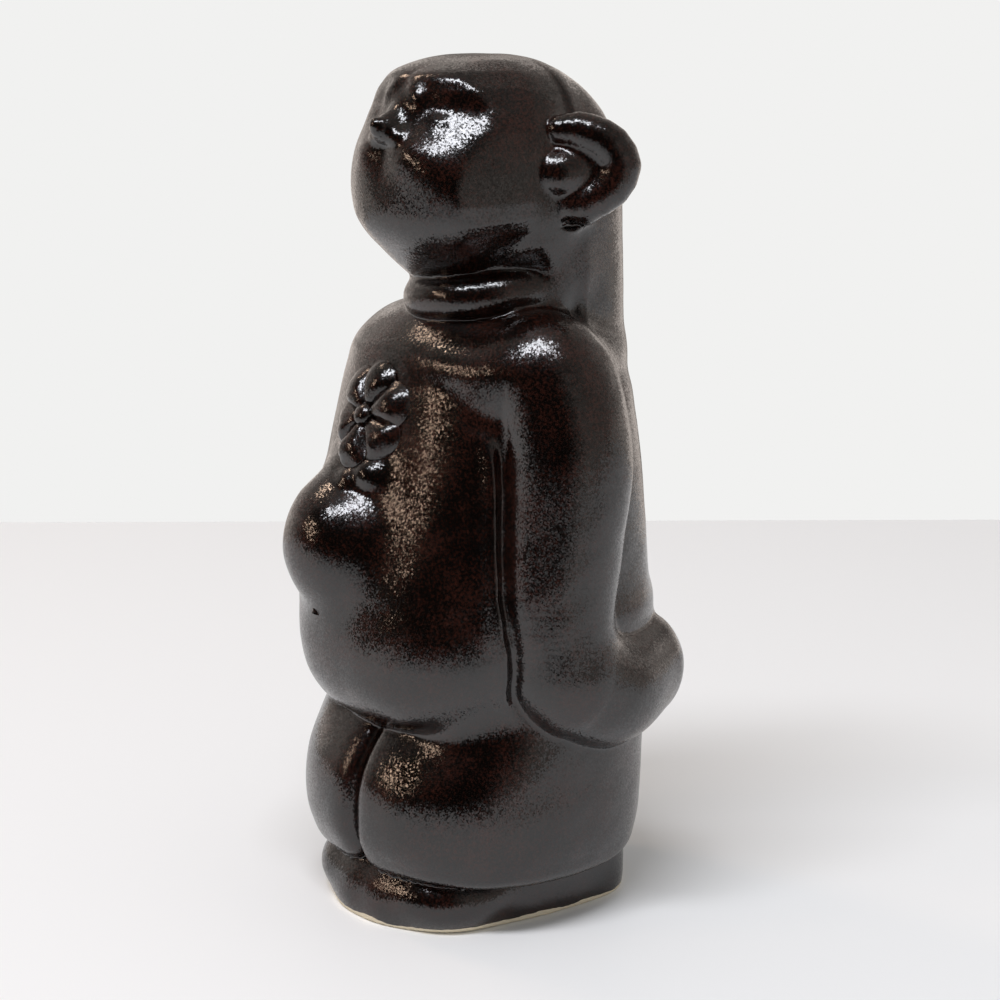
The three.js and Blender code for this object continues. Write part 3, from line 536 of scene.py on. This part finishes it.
def ear(p, side):
    q = p * np.array((side, 1, 1), np.float32)
    cup = soft_min(limb(q, EAR_RIM, 14), ball(q, EAR_WEB, EAR_WEB_SIZE, EAR_TURN), EAR_WEB_JOIN)
    return soft_min(cup, ball(q, EAR_ROOT, EAR_ROOT_SIZE, EAR_TURN), EAR_ROOT_JOIN)


print("nose reaches to y", np.round(front_at(nose, 0, NOSE[1][2], -30, NOSE[1][1]), 1), "mm")

# %% [markdown]
# ## Collar and hair
# The collar is a ring of clay round the neck, a little off centre and tilted, so it shows more on the left.
# The hair is a smooth hood that runs from the crown down the nape, with a lock before each ear. It could be
# sculpted in strands, but the picture shows none, so it stays a mass with a soft edge.

# %% Collar and hair
COLLAR, COLLAR_HEIGHT, COLLAR_TILT = (1.9, 0.1), 73.2, (0.08, 0.06)
COLLAR_RADIUS, COLLAR_ROLL = 7.1, 2.5
HAIR = [
    (55, 10.6, 4, 12.4), (58, 11.2, 4, 13.2), (64, 11.8, 3, 13), (71, 12.3, 2.4, 12.7), (76, 12.6, 3.6, 12.2),
    (80, 12.8, 6, 11.8), (84, 12.9, 7, 11.5), (90, 12.3, 4, 10.2), (94, 11, 2.6, 8), (96.5, 8.8, 2, 5.6),
    (98.2, 6.2, 1.6, 3.6),
]
HAIR_MIDDLE, HAIR_END, HAIR_TOP = 6.0, 55.5, 98.2
HOOD_OVER, HOOD_EDGE, HOOD_FROM = 0.6, 3.9, 84
LOCK, LOCK_JOIN = [(10.8, -0.4, 84.5, 2.6), (10.3, 0.8, 80.5, 2.8), (9.8, 4.2, 76, 2.6)], 4.0


def collar(p):
    ring = np.sqrt((p[:, 0] - COLLAR[0]) ** 2 + (p[:, 1] - COLLAR[1]) ** 2) - COLLAR_RADIUS
    height = p[:, 2] - COLLAR_HEIGHT - COLLAR_TILT[0] * p[:, 0] - COLLAR_TILT[1] * p[:, 1]
    return np.hypot(ring, height) - COLLAR_ROLL


def hair(p):
    mass = soft_max(column(p, HAIR, HAIR_MIDDLE, ROUNDISH), HAIR_END - p[:, 2], 3.0)
    mass = soft_max(mass, p[:, 2] - HAIR_TOP, 2.5)
    hood = soft_max(column(p, SKULL, 0.0, ROUNDISH) - HOOD_OVER, HOOD_EDGE - p[:, 1], 2.0)
    mass = soft_min(mass, np.maximum(hood, HOOD_FROM - p[:, 2]), 1.5)
    for side in (1, -1):
        mass = soft_min(mass, limb(p, [(side * x, y, z, r) for x, y, z, r in LOCK], 4), LOCK_JOIN)
    return mass


print("collar ring", COLLAR_RADIUS, "mm, hair down to z", HAIR_END, "mm")

# %% [markdown]
# ## Every form at once
# Each piece keeps its own field. It is only worked out at heights where the form can matter, which saves
# most of the time, and counts as far away elsewhere. A slow and a quick waviness of some hundredths of a
# millimetre keep the surface hand-made. A Displace modifier could add them, but here the normals follow
# them too.

# %% Forms and their heights
FAR = 9.0
FORMS = {
    "feet": (feet, -5, 20), "left_leg": (lambda p: leg(p, 1), -3, 42),
    "right_leg": (lambda p: leg(p, -1), -3, 42), "torso": (torso, 12, 94),
    "left_arm": (left_arm, 18, 78), "left_hand": (left_hand, 12, 46),
    "right_arm": (right_arm, 28, 80), "right_hand": (right_hand, 28, 64), "collar": (collar, 62, 85),
    "hair": (hair, 44, 106), "head": (head, 66, 108), "nose": (nose, 80, 106),
    "left_ear": (lambda p: ear(p, 1), 72, 104), "right_ear": (lambda p: ear(p, -1), 72, 104),
}
SLOW_WAVE, QUICK_WAVE = 0.02, 0.008


def forms(p):
    fields = {}
    for name, (form, lowest, highest) in FORMS.items():
        near = (p[:, 2] > lowest) & (p[:, 2] < highest)
        fields[name] = np.full(len(p), FAR, np.float32)
        fields[name][near] = form(p[near])
    return fields


def unevenness(p):
    a, b, c = p[:, 0], p[:, 1], p[:, 2]
    slow = np.sin(0.61 * a + 0.42 * c + 1.1) + np.sin(0.52 * b - 0.57 * c + 2.3)
    slow = slow + np.sin(0.47 * c + 0.55 * a - 0.4 * b)
    quick = np.sin(1.3 * a + 0.9 * b + 0.4) + np.sin(1.1 * b - 1.4 * c + 1.9) + np.sin(1.2 * c - 1.0 * a)
    return SLOW_WAVE * slow + QUICK_WAVE * quick


print("forms under the glaze:", len(FORMS))

# %% [markdown]
# ## One skin under the glaze
# The eye sees one skin, since glaze runs over every joint. Each join gets the narrowest width it has on the
# figure, and grows where the clay was smoothed over: a tight crease under the belly, a broad flow over the
# shoulder and down the nape.

# %% One skin
JOIN = {
    "legs": 0.6, "feet": 0.5, "belly": 0.8, "hair": 1.0, "left_arm": 0.9, "hands": 4.0, "right_arm": 6.0,
    "collar": 1.4, "nose": 1.5, "ears": 0.9, "neck": 1.0,
}
FLOW = {"legs": 5, "belly": 9, "hair": 4.4, "shoulder": 6, "inner_arm": 7, "collar": 5, "nape": 6.0}
EAR_UNDERCUT, UNDERCUT_SIZE, UNDERCUT_EDGE = (13.6, 2, 81.4), (2.6, 2.6, 1.6), 0.8


def skin(p):
    f = forms(p)
    x, y, z = p.T
    body = soft_min(f["left_leg"], f["right_leg"], JOIN["legs"] + FLOW["legs"] * ramp(y, 3, 10))
    body = soft_min(body, f["feet"], JOIN["feet"])
    body = soft_min(body, f["torso"], JOIN["belly"] + FLOW["belly"] * ramp(np.abs(x), *SIDES))
    body = soft_min(body, f["hair"], JOIN["hair"] + FLOW["hair"] * ramp(z, 59, 69))
    inner = ramp(-x, -14.5, -10) * ramp(y, -3, 2)
    flow = np.maximum(FLOW["shoulder"] * ramp(z, 60, 67), FLOW["inner_arm"] * inner)
    body = soft_min(body, soft_min(f["left_arm"], f["left_hand"], JOIN["hands"]), JOIN["left_arm"] + flow)
    body = soft_min(body, soft_min(f["right_arm"], f["right_hand"], JOIN["hands"]), JOIN["right_arm"])
    body = soft_min(body, f["collar"], JOIN["collar"] + FLOW["collar"] * ramp(y, -1, 4))
    top = soft_min(f["head"], f["nose"], JOIN["nose"])
    for name in ("left_ear", "right_ear"):
        top = soft_min(top, f[name], JOIN["ears"])
    top = soft_max(top, -ball(both_sides(p), EAR_UNDERCUT, UNDERCUT_SIZE), UNDERCUT_EDGE)
    nape = ramp(y, -3, 3) * ramp(-z, -87, -81)
    return soft_min(body, top, JOIN["neck"] + FLOW["nape"] * nape) + unevenness(p) * ramp(z, 0, 4)


print("belly with its glaze reaches to y", np.round(front_at(skin, 0, 32), 1), "mm")

# %% [markdown]
# ## Sample the field
# The field becomes a mesh on a grid of small cells. A full grid would be slow, so a coarse one is filled
# first, and only the cells that lie close to the surface, or that it crosses, are sampled finely.

# %% Sample the skin
CELL = 0.4
COARSE = 4
BAND = 3.0
GRID_LOW, GRID_SIZE = np.array((-27, -27, -2.0)), np.array((54, 52, 105))
counts = (GRID_SIZE / (CELL * COARSE)).astype(int) * COARSE + 1
CORNERS = [(i, j, k) for i in (0, 1) for j in (0, 1) for k in (0, 1)]


def grid_points(step):
    axes = [GRID_LOW[i] + CELL * np.arange(0, counts[i], step) for i in range(3)]
    return np.stack(np.meshgrid(*axes, indexing="ij"), -1).astype(np.float32)


def at_corners(block):
    a, b, c = (n - 1 for n in block.shape)
    return np.stack([block[i:i + a, j:j + b, k:k + c] for i, j, k in CORNERS])


rough = grid_points(COARSE)
rough_field = skin(rough.reshape(-1, 3)).reshape(rough.shape[:3])
inside = at_corners(rough_field < 0)
cells = at_corners(np.abs(rough_field) < BAND).any(0) | (inside.any(0) != inside.all(0))
wanted = np.zeros(tuple(counts), bool)
a, b, c = (COARSE * n for n in cells.shape)
for i, j, k in np.ndindex(COARSE + 1, COARSE + 1, COARSE + 1):
    wanted[i:i + a:COARSE, j:j + b:COARSE, k:k + c:COARSE] |= cells
last = np.array(rough_field.shape)[:, None, None, None] - 1
field = rough_field[tuple(np.minimum((np.indices(tuple(counts)) + COARSE // 2) // COARSE, last))]
field[wanted] = skin(grid_points(1)[wanted])
print("grid", tuple(counts), "of which sampled", int(wanted.sum()))

# %% [markdown]
# ## From field to mesh
# Surface nets puts one point in every cell that the surface crosses and one quad across every edge that it
# cuts. It gives even quads, where marching cubes leaves slivers that spoil a glossy highlight.

# %% Surface nets
def net_points(values):
    full = at_corners(values < 0).sum(0)
    active = (full > 0) & (full < len(CORNERS))
    at = np.argwhere(active)
    number = np.full(active.shape, -1)
    number[active] = np.arange(len(at))
    total, hits = np.zeros((len(at), 3)), np.zeros(len(at))
    for corner in CORNERS:
        for axis in range(3):
            if corner[axis]:
                continue
            other = list(corner)
            other[axis] = 1
            a, b = values[tuple((at + corner).T)], values[tuple((at + other).T)]
            hit = (a < 0) != (b < 0)
            cut = np.tile(np.array(corner, float), (len(at), 1))
            cut[:, axis] += np.where(hit, a / np.where(hit, a - b, 1), 0)
            total += cut * hit[:, None]
            hits += hit
    return ((at + total / hits[:, None]) * CELL + GRID_LOW).astype(np.float32), number


def net_quads(inside, number):
    quads = []
    for axis, u, v in ((0, 1, 2), (1, 2, 0), (2, 0, 1)):
        start, stop = [slice(1, -1)] * 3, [slice(1, -1)] * 3
        start[axis], stop[axis] = slice(0, -1), slice(1, None)
        a, b = inside[tuple(start)], inside[tuple(stop)]
        for leaving in (True, False):
            edge = np.argwhere((a != b) & (a == leaving))
            edge[:, u] += 1
            edge[:, v] += 1
            ring = []
            for du, dv in ((1, 1), (0, 1), (0, 0), (1, 0)):
                corner = edge.copy()
                corner[:, u] -= du
                corner[:, v] -= dv
                ring.append(number[tuple(corner.T)])
            quads.append(np.stack(ring if leaving else ring[::-1], 1))
    return np.concatenate(quads)


points, number = net_points(field)
quads = net_quads(field < 0, number)
print("net:", len(points), "points and", len(quads), "quads")

# %% [markdown]
# ## Relax the net
# The raw net is a little uneven. Each point moves halfway to the middle of its neighbours, along the
# surface only, and is then slid back onto it. A Smooth modifier would round off the creases. The field's
# own slope gives exact normals.

# %% Relax
ROUNDS = 3
REACH = 0.08


def facing(p):
    total = np.zeros_like(p)
    for sign in ((1, -1, -1), (-1, -1, 1), (-1, 1, -1), (1, 1, 1)):
        step = np.array(sign, np.float32)
        total += step * skin(p + REACH * step)[:, None]
    total /= 4 * REACH
    steep = np.sqrt((total * total).sum(1, keepdims=True))
    return total / steep, np.clip(skin(p)[:, None] / steep, -CELL, CELL)


edges = np.concatenate([quads[:, [i, (i + 1) % 4]] for i in range(4)])
ends = np.concatenate([edges, edges[:, ::-1]])
valence = np.bincount(ends[:, 0], minlength=len(points))[:, None]
for _ in range(ROUNDS):
    sums = [np.bincount(ends[:, 0], points[ends[:, 1], i], len(points)) for i in range(3)]
    shift = np.stack(sums, 1) / valence - points
    normal, gap = facing(points)
    shift -= (shift * normal).sum(1, keepdims=True) * normal
    points = (points + 0.5 * shift - normal * gap).astype(np.float32)
normal, gap = facing(points)
points = points - normal * gap
print("skin from z", np.round(points[:, 2].min(), 3), "to", np.round(points[:, 2].max(), 3), "mm")

# %% [markdown]
# ## Glaze
# The glaze is an iron and manganese stoneware glaze, fired to a satin gloss: nearly black, oxblood where it
# is thin, and full of fine crystals that lie at slightly different angles, so that highlights break into
# bright specks. A dark base colour with a clear reflection gives the body; a metallic shader would tint the
# white highlights. Each cell of a Voronoi texture is one crystal, and its random colour tips the normal by
# a few degrees: bump from a noise would look hammered instead. Crystals this flat can't show in the
# outline, so they stay in the material. The foot is wiped bare before firing, so a line of cream clay shows
# under the glaze there.

# %% Glaze
CRYSTAL, TILT = 0.17, 0.15  # mm across, so that two or three make a speck as seen; slope of the steepest
CLOUD, SPECK, SPECK_SHARE = 5, 0.3, 0.6  # mm across thick and thin patches and brown specks; share of specks
THICK, THIN = (0.46, "#060302"), (0.67, "#2c130c")
SATIN = (0.15, 0.21)
GLASS_IOR = 1.66  # metal oxides lift it above that of window glass
LOW_LINE, HIGH_LINE = 0.35 * MM, 0.85 * MM  # where the glaze starts above the table
BARE_CLAY, BARE_ROUGHNESS = "#d9cdb4", 0.85


def scale(size):
    return 1 / (size * MM)


def glaze(name, foot=False):
    material = bpy.data.materials.new(name)
    material.use_nodes = True
    tree = material.node_tree
    tree.nodes.clear()
    spot = add(tree, "ShaderNodeTexCoord").outputs["Object"]
    crystal = add(tree, "ShaderNodeTexVoronoi", {"Vector": spot, "Scale": scale(CRYSTAL)}).outputs["Color"]
    lean = add(tree, "ShaderNodeVectorMath", {0: crystal, 1: (0.5, 0.5, 0.5)}, operation="SUBTRACT")
    smooth = add(tree, "ShaderNodeNewGeometry").outputs["Normal"]
    tipped = add(tree, "ShaderNodeVectorMath", {
        0: lean, 1: (TILT, TILT, TILT), 2: smooth,
    }, operation="MULTIPLY_ADD")
    facet = add(tree, "ShaderNodeVectorMath", {0: tipped}, operation="NORMALIZE")
    cloud = add(tree, "ShaderNodeTexNoise", {
        "Vector": spot, "Scale": scale(CLOUD), "Detail": 3.0, "Roughness": 0.55,
    })
    specks = add(tree, "ShaderNodeTexNoise", {"Vector": spot, "Scale": scale(SPECK), "Detail": 1.0})
    thinness = add(tree, "ShaderNodeMix", {0: SPECK_SHARE, 2: cloud, 3: specks})
    tint = add(tree, "ShaderNodeValToRGB", {"Fac": thinness})
    for stop, (position, colour) in zip(tint.color_ramp.elements, (THICK, THIN)):
        stop.position, stop.color = position, linear(colour)
    satin = add(tree, "ShaderNodeMapRange", {
        "Value": cloud, "From Min": 0.3, "From Max": 0.7, "To Min": SATIN[0], "To Max": SATIN[1],
    })
    shader = add(tree, "ShaderNodeBsdfPrincipled", {
        "Base Color": tint, "Roughness": satin, "IOR": GLASS_IOR, "Normal": facet,
    })
    add(tree, "ShaderNodeOutputMaterial", {"Surface": shader})
    if foot:
        height = add(tree, "ShaderNodeSeparateXYZ", {"Vector": spot}).outputs["Z"]
        line = add(tree, "ShaderNodeMapRange", {
            "Value": cloud, "From Min": 0.35, "From Max": 0.65, "To Min": LOW_LINE, "To Max": HIGH_LINE,
        })
        glazed = add(tree, "ShaderNodeMath", {0: height, 1: line}, operation="GREATER_THAN")
        coat = add(tree, "ShaderNodeMix", {
            "Factor": glazed, 6: linear(BARE_CLAY), 7: tint,
        }, data_type="RGBA")
        matt = add(tree, "ShaderNodeMapRange", {"Value": glazed, "To Min": BARE_ROUGHNESS, "To Max": satin})
        tree.links.new(coat.outputs[2], shader.inputs["Base Color"])
        tree.links.new(matt.outputs[0], shader.inputs["Roughness"])
    return material


brown_glaze = glaze("iron brown stoneware glaze")  # nearly black, with crystals that glint
glazed_foot = glaze("iron glaze over bare stoneware", True)  # the same above a matt cream line
print("glazes:", brown_glaze.name, "and", glazed_foot.name)

# %% [markdown]
# ## Give the faces back to their pieces
# Every face belongs to the piece whose field is lowest there. Below the top of the base slab the feet count
# as the slab, and above it as the left or the right shoe.

# %% Name every face
SLAB_TOP = 2.6


def face_names(centres):
    fields = forms(centres)
    names = np.array(list(fields), object)[np.argmin(np.stack(list(fields.values())), 0)]
    shod = names == "feet"
    names[shod] = np.where(centres[shod, 0] > 0, "left_shoe", "right_shoe")
    names[shod & (centres[:, 2] < SLAB_TOP)] = "base_slab"
    return names


names = face_names(points[quads].mean(1))
pieces = sorted(set(names))
label = np.searchsorted(pieces, names.astype(str))
sides = np.sort(edges, axis=1)
pairs = (np.lexsort((sides[:, 1], sides[:, 0])) % len(quads)).reshape(-1, 2)
print("faces by piece:", dict(zip(pieces, np.bincount(label))))

# %% [markdown]
# ## Clean the borders
# Along a crease two fields are nearly equal, so single faces can fall to the wrong side. A vote among
# neighbours straightens the borders, and any island that is cut off from its piece joins the piece around
# it.

# %% Clean the borders
VOTES, SWEEPS = 12, 8


def smooth_borders(label, rounds):
    every = np.arange(len(label))
    for _ in range(rounds):
        votes = np.zeros((len(label), len(pieces)), np.int8)
        votes[every, label] = 1
        for a, b in (pairs.T, pairs.T[::-1]):
            np.add.at(votes, (a, label[b]), 1)
        best = votes.argmax(1)
        label = np.where(votes[every, best] > votes[every, label] + 1, best, label)
    return label


def islands(label):
    root = np.arange(len(label))
    same = pairs[label[pairs[:, 0]] == label[pairs[:, 1]]]
    while True:
        lowest = root.copy()
        np.minimum.at(lowest, same[:, 0], root[same[:, 1]])
        np.minimum.at(lowest, same[:, 1], lowest[same[:, 0]])
        lowest = lowest[lowest]
        if (lowest == root).all():
            return root
        root = lowest


label = smooth_borders(label, VOTES)
for _ in range(SWEEPS):
    root = islands(label)
    sizes = np.bincount(root, minlength=len(label))
    main = [np.argmax(np.where(label == k, sizes[root], 0)) for k in range(len(pieces))]
    stray = ~np.isin(root, root[main])
    if not stray.any():
        break
    for a, b in (pairs.T, pairs.T[::-1]):
        move = stray[a] & ~stray[b]
        label[a[move]] = label[b[move]]
print("borders cleaned, faces left astray:", int(stray.sum()))

# %% [markdown]
# ## Walls
# The figure is hollow, so each piece becomes a closed shell with a wall: its outer faces, the same faces
# moved inwards, and a lip that joins them along the border. A Solidify modifier would do this too, but it
# would take its own normals and show the borders. Here both sides of a border keep one normal, so the glaze
# runs across.

# %% Give every piece a wall
WALL = 0.8


def wall_mesh(name, faces, material):
    used, local = np.unique(faces, return_inverse=True)
    local = local.reshape(faces.shape)
    count = len(used)
    outer, out = points[used], normal[used]
    rim = np.concatenate([local[:, [i, (i + 1) % 4]] for i in range(4)])
    start, end = rim[~np.isin(rim[:, 1] * count + rim[:, 0], rim[:, 0] * count + rim[:, 1])].T
    lips = np.stack([end, start, start + count, end + count], 1)
    mesh = bpy.data.meshes.new(name)
    shell = np.concatenate([outer, outer - WALL * out]) * MM
    mesh.from_pydata(shell.tolist(), [], np.concatenate([local, local[:, ::-1] + count, lips]).tolist())
    mesh.polygons.foreach_set("use_smooth", np.ones(len(mesh.polygons), bool))
    mesh.normals_split_custom_set_from_vertices(np.concatenate([out, -out]).tolist())
    mesh.materials.append(material)
    return mesh


def put(mesh, node):
    piece = bpy.data.objects.new(mesh.name, mesh)
    bpy.context.scene.collection.objects.link(piece)
    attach(piece, "root")
    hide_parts(node)
    corners = np.array([v.co for v in mesh.vertices]) / MM
    print(node, np.round(corners.min(0), 1), np.round(corners.max(0), 1), len(mesh.polygons), "faces")


for index, node in enumerate(pieces):
    bare = node == "base_slab"
    mesh = wall_mesh("skin_" + node, quads[label == index], glazed_foot if bare else brown_glaze)
    put(mesh, node)

# %% [markdown]
# ## Where the flower sits
# A small six-petalled flower with a stem was pressed onto the chest. It leans with the chest, so its pieces
# are drawn flat first and then laid down on the clay. Shrinkwrap could do that too, but the field is
# already at hand and is exact.

# %% Place the flower
FLOWER = np.array((-2.4, 0, 59.9))
LOOK_APART = 5

x, z = FLOWER[0], FLOWER[2]
rise = front_at(skin, x, z + LOOK_APART) - front_at(skin, x, z - LOOK_APART)
lean = math.atan2(rise, 2 * LOOK_APART)
FLOWER[1] = front_at(skin, x, z)
print("flower at", np.round(FLOWER, 1), "leaning back", round(math.degrees(lean)), "degrees")

# %% [markdown]
# ## One petal
# A petal is a pat of clay, narrow at the button, broad and round at its end, with a groove that a tool drew
# down its middle. It is a row of cross sections along its length: each has a half width and a crown, the
# crown falls off in a bell to both sides, and the underside sinks a little into the chest, so that no gap
# can show.

# %% One petal
PETAL_START, PETAL_END = 0.9, 6.5
PETAL_RING = (PETAL_START + PETAL_END) / 2
PETAL_HEIGHT, PETAL_SINK, BELL = 1.6, 0.8, 2.4
SPREAD, BROADEST, ROUND_FROM = 0.68, 4.2, 3.8
ROOT_SHARE, ROOT_LENGTH, ROOT_LOW = 0.5, 2.6, 0.35
CENTRE_GROOVE, CENTRE_GROOVE_WIDTH = 0.18, 0.3


def closed_tube(points, rows, sides):
    faces = []
    for j in range(sides):
        k = (j + 1) % sides
        quad = ((0, j), (0, k), (1, k), (1, j))
        faces += [[(i + a) * sides + b for a, b in quad] for i in range(rows - 1)]
        last = (rows - 1) * sides
        faces += [(len(points) - 2, k, j), (len(points) - 1, last + j, last + k)]
    return faces


def petal(rings=16, sides=24):
    points = []
    length = PETAL_END - PETAL_START
    for i in range(1, rings):
        y = -math.cos(math.pi * i / rings) * length / 2
        r = PETAL_RING + y
        tip = max(1 - max((r - ROUND_FROM) / (PETAL_END - ROUND_FROM), 0) ** 2, 0) ** 0.5
        half = SPREAD * min(r, BROADEST) * tip
        grown = ROOT_SHARE + (1 - ROOT_SHARE) * min((r - PETAL_START) / ROOT_LENGTH, 1)
        crown = PETAL_HEIGHT * grown * tip**1.5 * min(1, ROOT_LOW + (r - PETAL_START))
        for j in range(sides):
            around = 2 * math.pi * j / sides
            across, lift = math.cos(around), math.sin(around)
            groove = CENTRE_GROOVE * math.exp(-((across / CENTRE_GROOVE_WIDTH) ** 2)) * max(lift, 0)
            height = crown * (lift**BELL - groove) if lift > 0 else PETAL_SINK * lift
            points.append((half * across, y, height))
    points += [(0, -length / 2, 0), (0, length / 2, 0)]
    return points, closed_tube(points, rings - 1, sides)


petal_points, petal_faces = petal()
one = bpy.data.meshes.new("petal")
one.from_pydata((np.array(petal_points) * MM).tolist(), [], petal_faces)
print("petal:", len(petal_faces), "faces,", round(PETAL_END - PETAL_START, 1), "mm long")

# %% [markdown]
# ## Ring of petals
# The six petals are one shape turned round the button, which is work for Geometry Nodes: a circle gives the
# places, its index gives each petal's turn, and a fixed seed makes each a few hundredths larger or smaller,
# as fingers do.

# %% Ring of petals
PETALS, UNEVEN_PETALS, PETAL_SEED = 6, 0.03, 4
RING_INPUTS = (
    ("Petals", "NodeSocketInt", PETALS), ("Ring radius", "NodeSocketFloat", PETAL_RING * MM),
    ("Unevenness", "NodeSocketFloat", UNEVEN_PETALS), ("Seed", "NodeSocketInt", PETAL_SEED),
)


def new_tree(name, inputs):
    tree = bpy.data.node_groups.new(name, "GeometryNodeTree")
    tree.interface.new_socket("Geometry", in_out="INPUT", socket_type="NodeSocketGeometry")
    values = {}
    for label, kind, value in inputs:
        socket = tree.interface.new_socket(label, in_out="INPUT", socket_type=kind)
        socket.default_value = value
        values[socket.identifier] = value
    tree.interface.new_socket("Geometry", in_out="OUTPUT", socket_type="NodeSocketGeometry")
    return tree, values, add(tree, "NodeGroupInput").outputs


def baked(tree, values, geometry, mesh):
    real = add(tree, "GeometryNodeRealizeInstances", {"Geometry": geometry})
    painted = add(tree, "GeometryNodeSetMaterial", {"Geometry": real, "Material": brown_glaze})
    add(tree, "NodeGroupOutput", {0: painted})
    maker = bpy.data.objects.new("maker", mesh)
    bpy.context.scene.collection.objects.link(maker)
    modifier = maker.modifiers.new("shape", "NODES")
    modifier.node_group = tree
    for identifier, value in values.items():
        modifier[identifier] = value
    graph = bpy.context.evaluated_depsgraph_get()
    result = bpy.data.meshes.new_from_object(maker.evaluated_get(graph))
    bpy.data.objects.remove(maker)
    return result


tree, values, given = new_tree("petals round a button", RING_INPUTS)
ring = add(tree, "GeometryNodeMeshCircle", {"Vertices": given["Petals"], "Radius": given["Ring radius"]})
index = add(tree, "GeometryNodeInputIndex")
step = add(tree, "ShaderNodeMath", {0: 2 * math.pi, 1: given["Petals"]}, operation="DIVIDE")
angle = add(tree, "ShaderNodeMath", {0: index, 1: step}, operation="MULTIPLY")
angle = add(tree, "ShaderNodeMath", {0: angle, 1: math.pi / 2}, operation="SUBTRACT")
turn_by = add(tree, "ShaderNodeCombineXYZ", {"Z": angle})
least = add(tree, "ShaderNodeMath", {0: 1.0, 1: given["Unevenness"]}, operation="SUBTRACT")
most = add(tree, "ShaderNodeMath", {0: 1.0, 1: given["Unevenness"]}, operation="ADD")
uneven = add(tree, "FunctionNodeRandomValue", {2: least, 3: most, "Seed": given["Seed"]}, data_type="FLOAT")
placed = add(tree, "GeometryNodeInstanceOnPoints", {
    "Points": ring, "Instance": given["Geometry"], "Rotation": turn_by, "Scale": uneven.outputs[1],
})
whole = baked(tree, values, placed, one)
print("ring of petals:", len(whole.vertices), "points")

# %% [markdown]
# ## Six petals on the chest
# The flat ring is turned to the angle seen on the figure, domed a little towards its button and laid on the
# chest. It is then cut back into six pieces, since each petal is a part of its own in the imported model.

# %% Lay the petals
PETAL_TURN = math.radians(22)
FLOWER_DOME = 0.8


def on_chest(flat):
    x = FLOWER[0] + flat[:, 0] * math.cos(PETAL_TURN) - flat[:, 1] * math.sin(PETAL_TURN)
    z = FLOWER[2] + (flat[:, 0] * math.sin(PETAL_TURN) + flat[:, 1] * math.cos(PETAL_TURN)) * math.cos(lean)
    out = np.hypot(flat[:, 0], flat[:, 1]) / PETAL_END
    dome = FLOWER_DOME * (1 - np.minimum(out, 1) ** 2) * np.clip(1 + flat[:, 2] / PETAL_SINK, 0, 1)
    return np.stack([x, front_at(skin, x, z) - dome - flat[:, 2], z], 1)


def glazed_mesh(name, places, faces):
    mesh = bpy.data.meshes.new(name)
    mesh.from_pydata((places * MM).tolist(), [], faces)
    mesh.polygons.foreach_set("use_smooth", np.ones(len(faces), bool))
    mesh.materials.append(brown_glaze)
    return mesh


laid = on_chest(np.array([v.co for v in whole.vertices]) / MM).reshape(PETALS, -1, 3)
for k in range(PETALS):
    node = "petal_%d" % ((1 - k) % PETALS + 1)
    put(glazed_mesh("glazed_" + node, laid[k], petal_faces), node)

# %% [markdown]
# ## Button
# The middle of the flower is a pea of clay, pressed on last. Its outline is a short row of radius and
# height that is turned round, as on a lathe; a UV sphere would be too round, since the pea was flattened by
# a thumb.

# %% Button
BUTTON = [
    (0, -1.0), (0.8, -0.9), (1.2, -0.4), (1.35, 0.3), (1.25, 0.8), (1, 1.15), (0.65, 1.35), (0.3, 1.43),
    (0, 1.45),
]
BUTTON_SIDES = 28

around = 2 * math.pi * np.arange(BUTTON_SIDES) / BUTTON_SIDES
turned = [(r * math.cos(t), r * math.sin(t), h) for r, h in BUTTON[1:-1] for t in around]
turned += [(0, 0, BUTTON[0][1]), (0, 0, BUTTON[-1][1])]
button_faces = closed_tube(turned, len(BUTTON) - 2, BUTTON_SIDES)
put(glazed_mesh("glazed_button", on_chest(np.array(turned)), button_faces), "flower_centre")

# %% [markdown]
# ## Stem
# A thin roll of clay runs from the flower behind the fist to the belly. It follows a path, so Geometry
# Nodes sweeps a small circle along it. The path lies on the trunk, as a roll does when it is pressed on.

# %% Stem
STEM_RADIUS, STEM_PROUD = 0.9, 0.2
STEM_MARKS = ((-2.4, 54.6), (-2.9, 51), (-3.4, 47), (-3.9, 43), (-4.3, 39.5), (-4.4, 36.6))

stem_path = [(x, float(front_at(torso, x, z)) - STEM_PROUD, z) for x, z in STEM_MARKS]
bends = curve_through(stem_path, 30) * MM
spine = bpy.data.meshes.new("spine")
spine.from_pydata(bends.tolist(), [(i, i + 1) for i in range(len(bends) - 1)], [])
tree, values, given = new_tree("stem along the chest", [("Radius", "NodeSocketFloat", STEM_RADIUS * MM)])
line = add(tree, "GeometryNodeMeshToCurve", {"Mesh": given["Geometry"]})
even_line = add(tree, "GeometryNodeResampleCurve", {"Curve": line, "Count": 40})
outline = add(tree, "GeometryNodeCurvePrimitiveCircle", {
    "Resolution": 16, "Radius": given["Radius"],
}, mode="RADIUS")
tube = add(tree, "GeometryNodeCurveToMesh", {
    "Curve": even_line, "Profile Curve": outline, "Fill Caps": True,
})
stem = baked(tree, values, add(tree, "GeometryNodeSetShadeSmooth", {"Geometry": tube}), spine)
stem.name = "glazed_stem"
put(stem, "flower_stem")
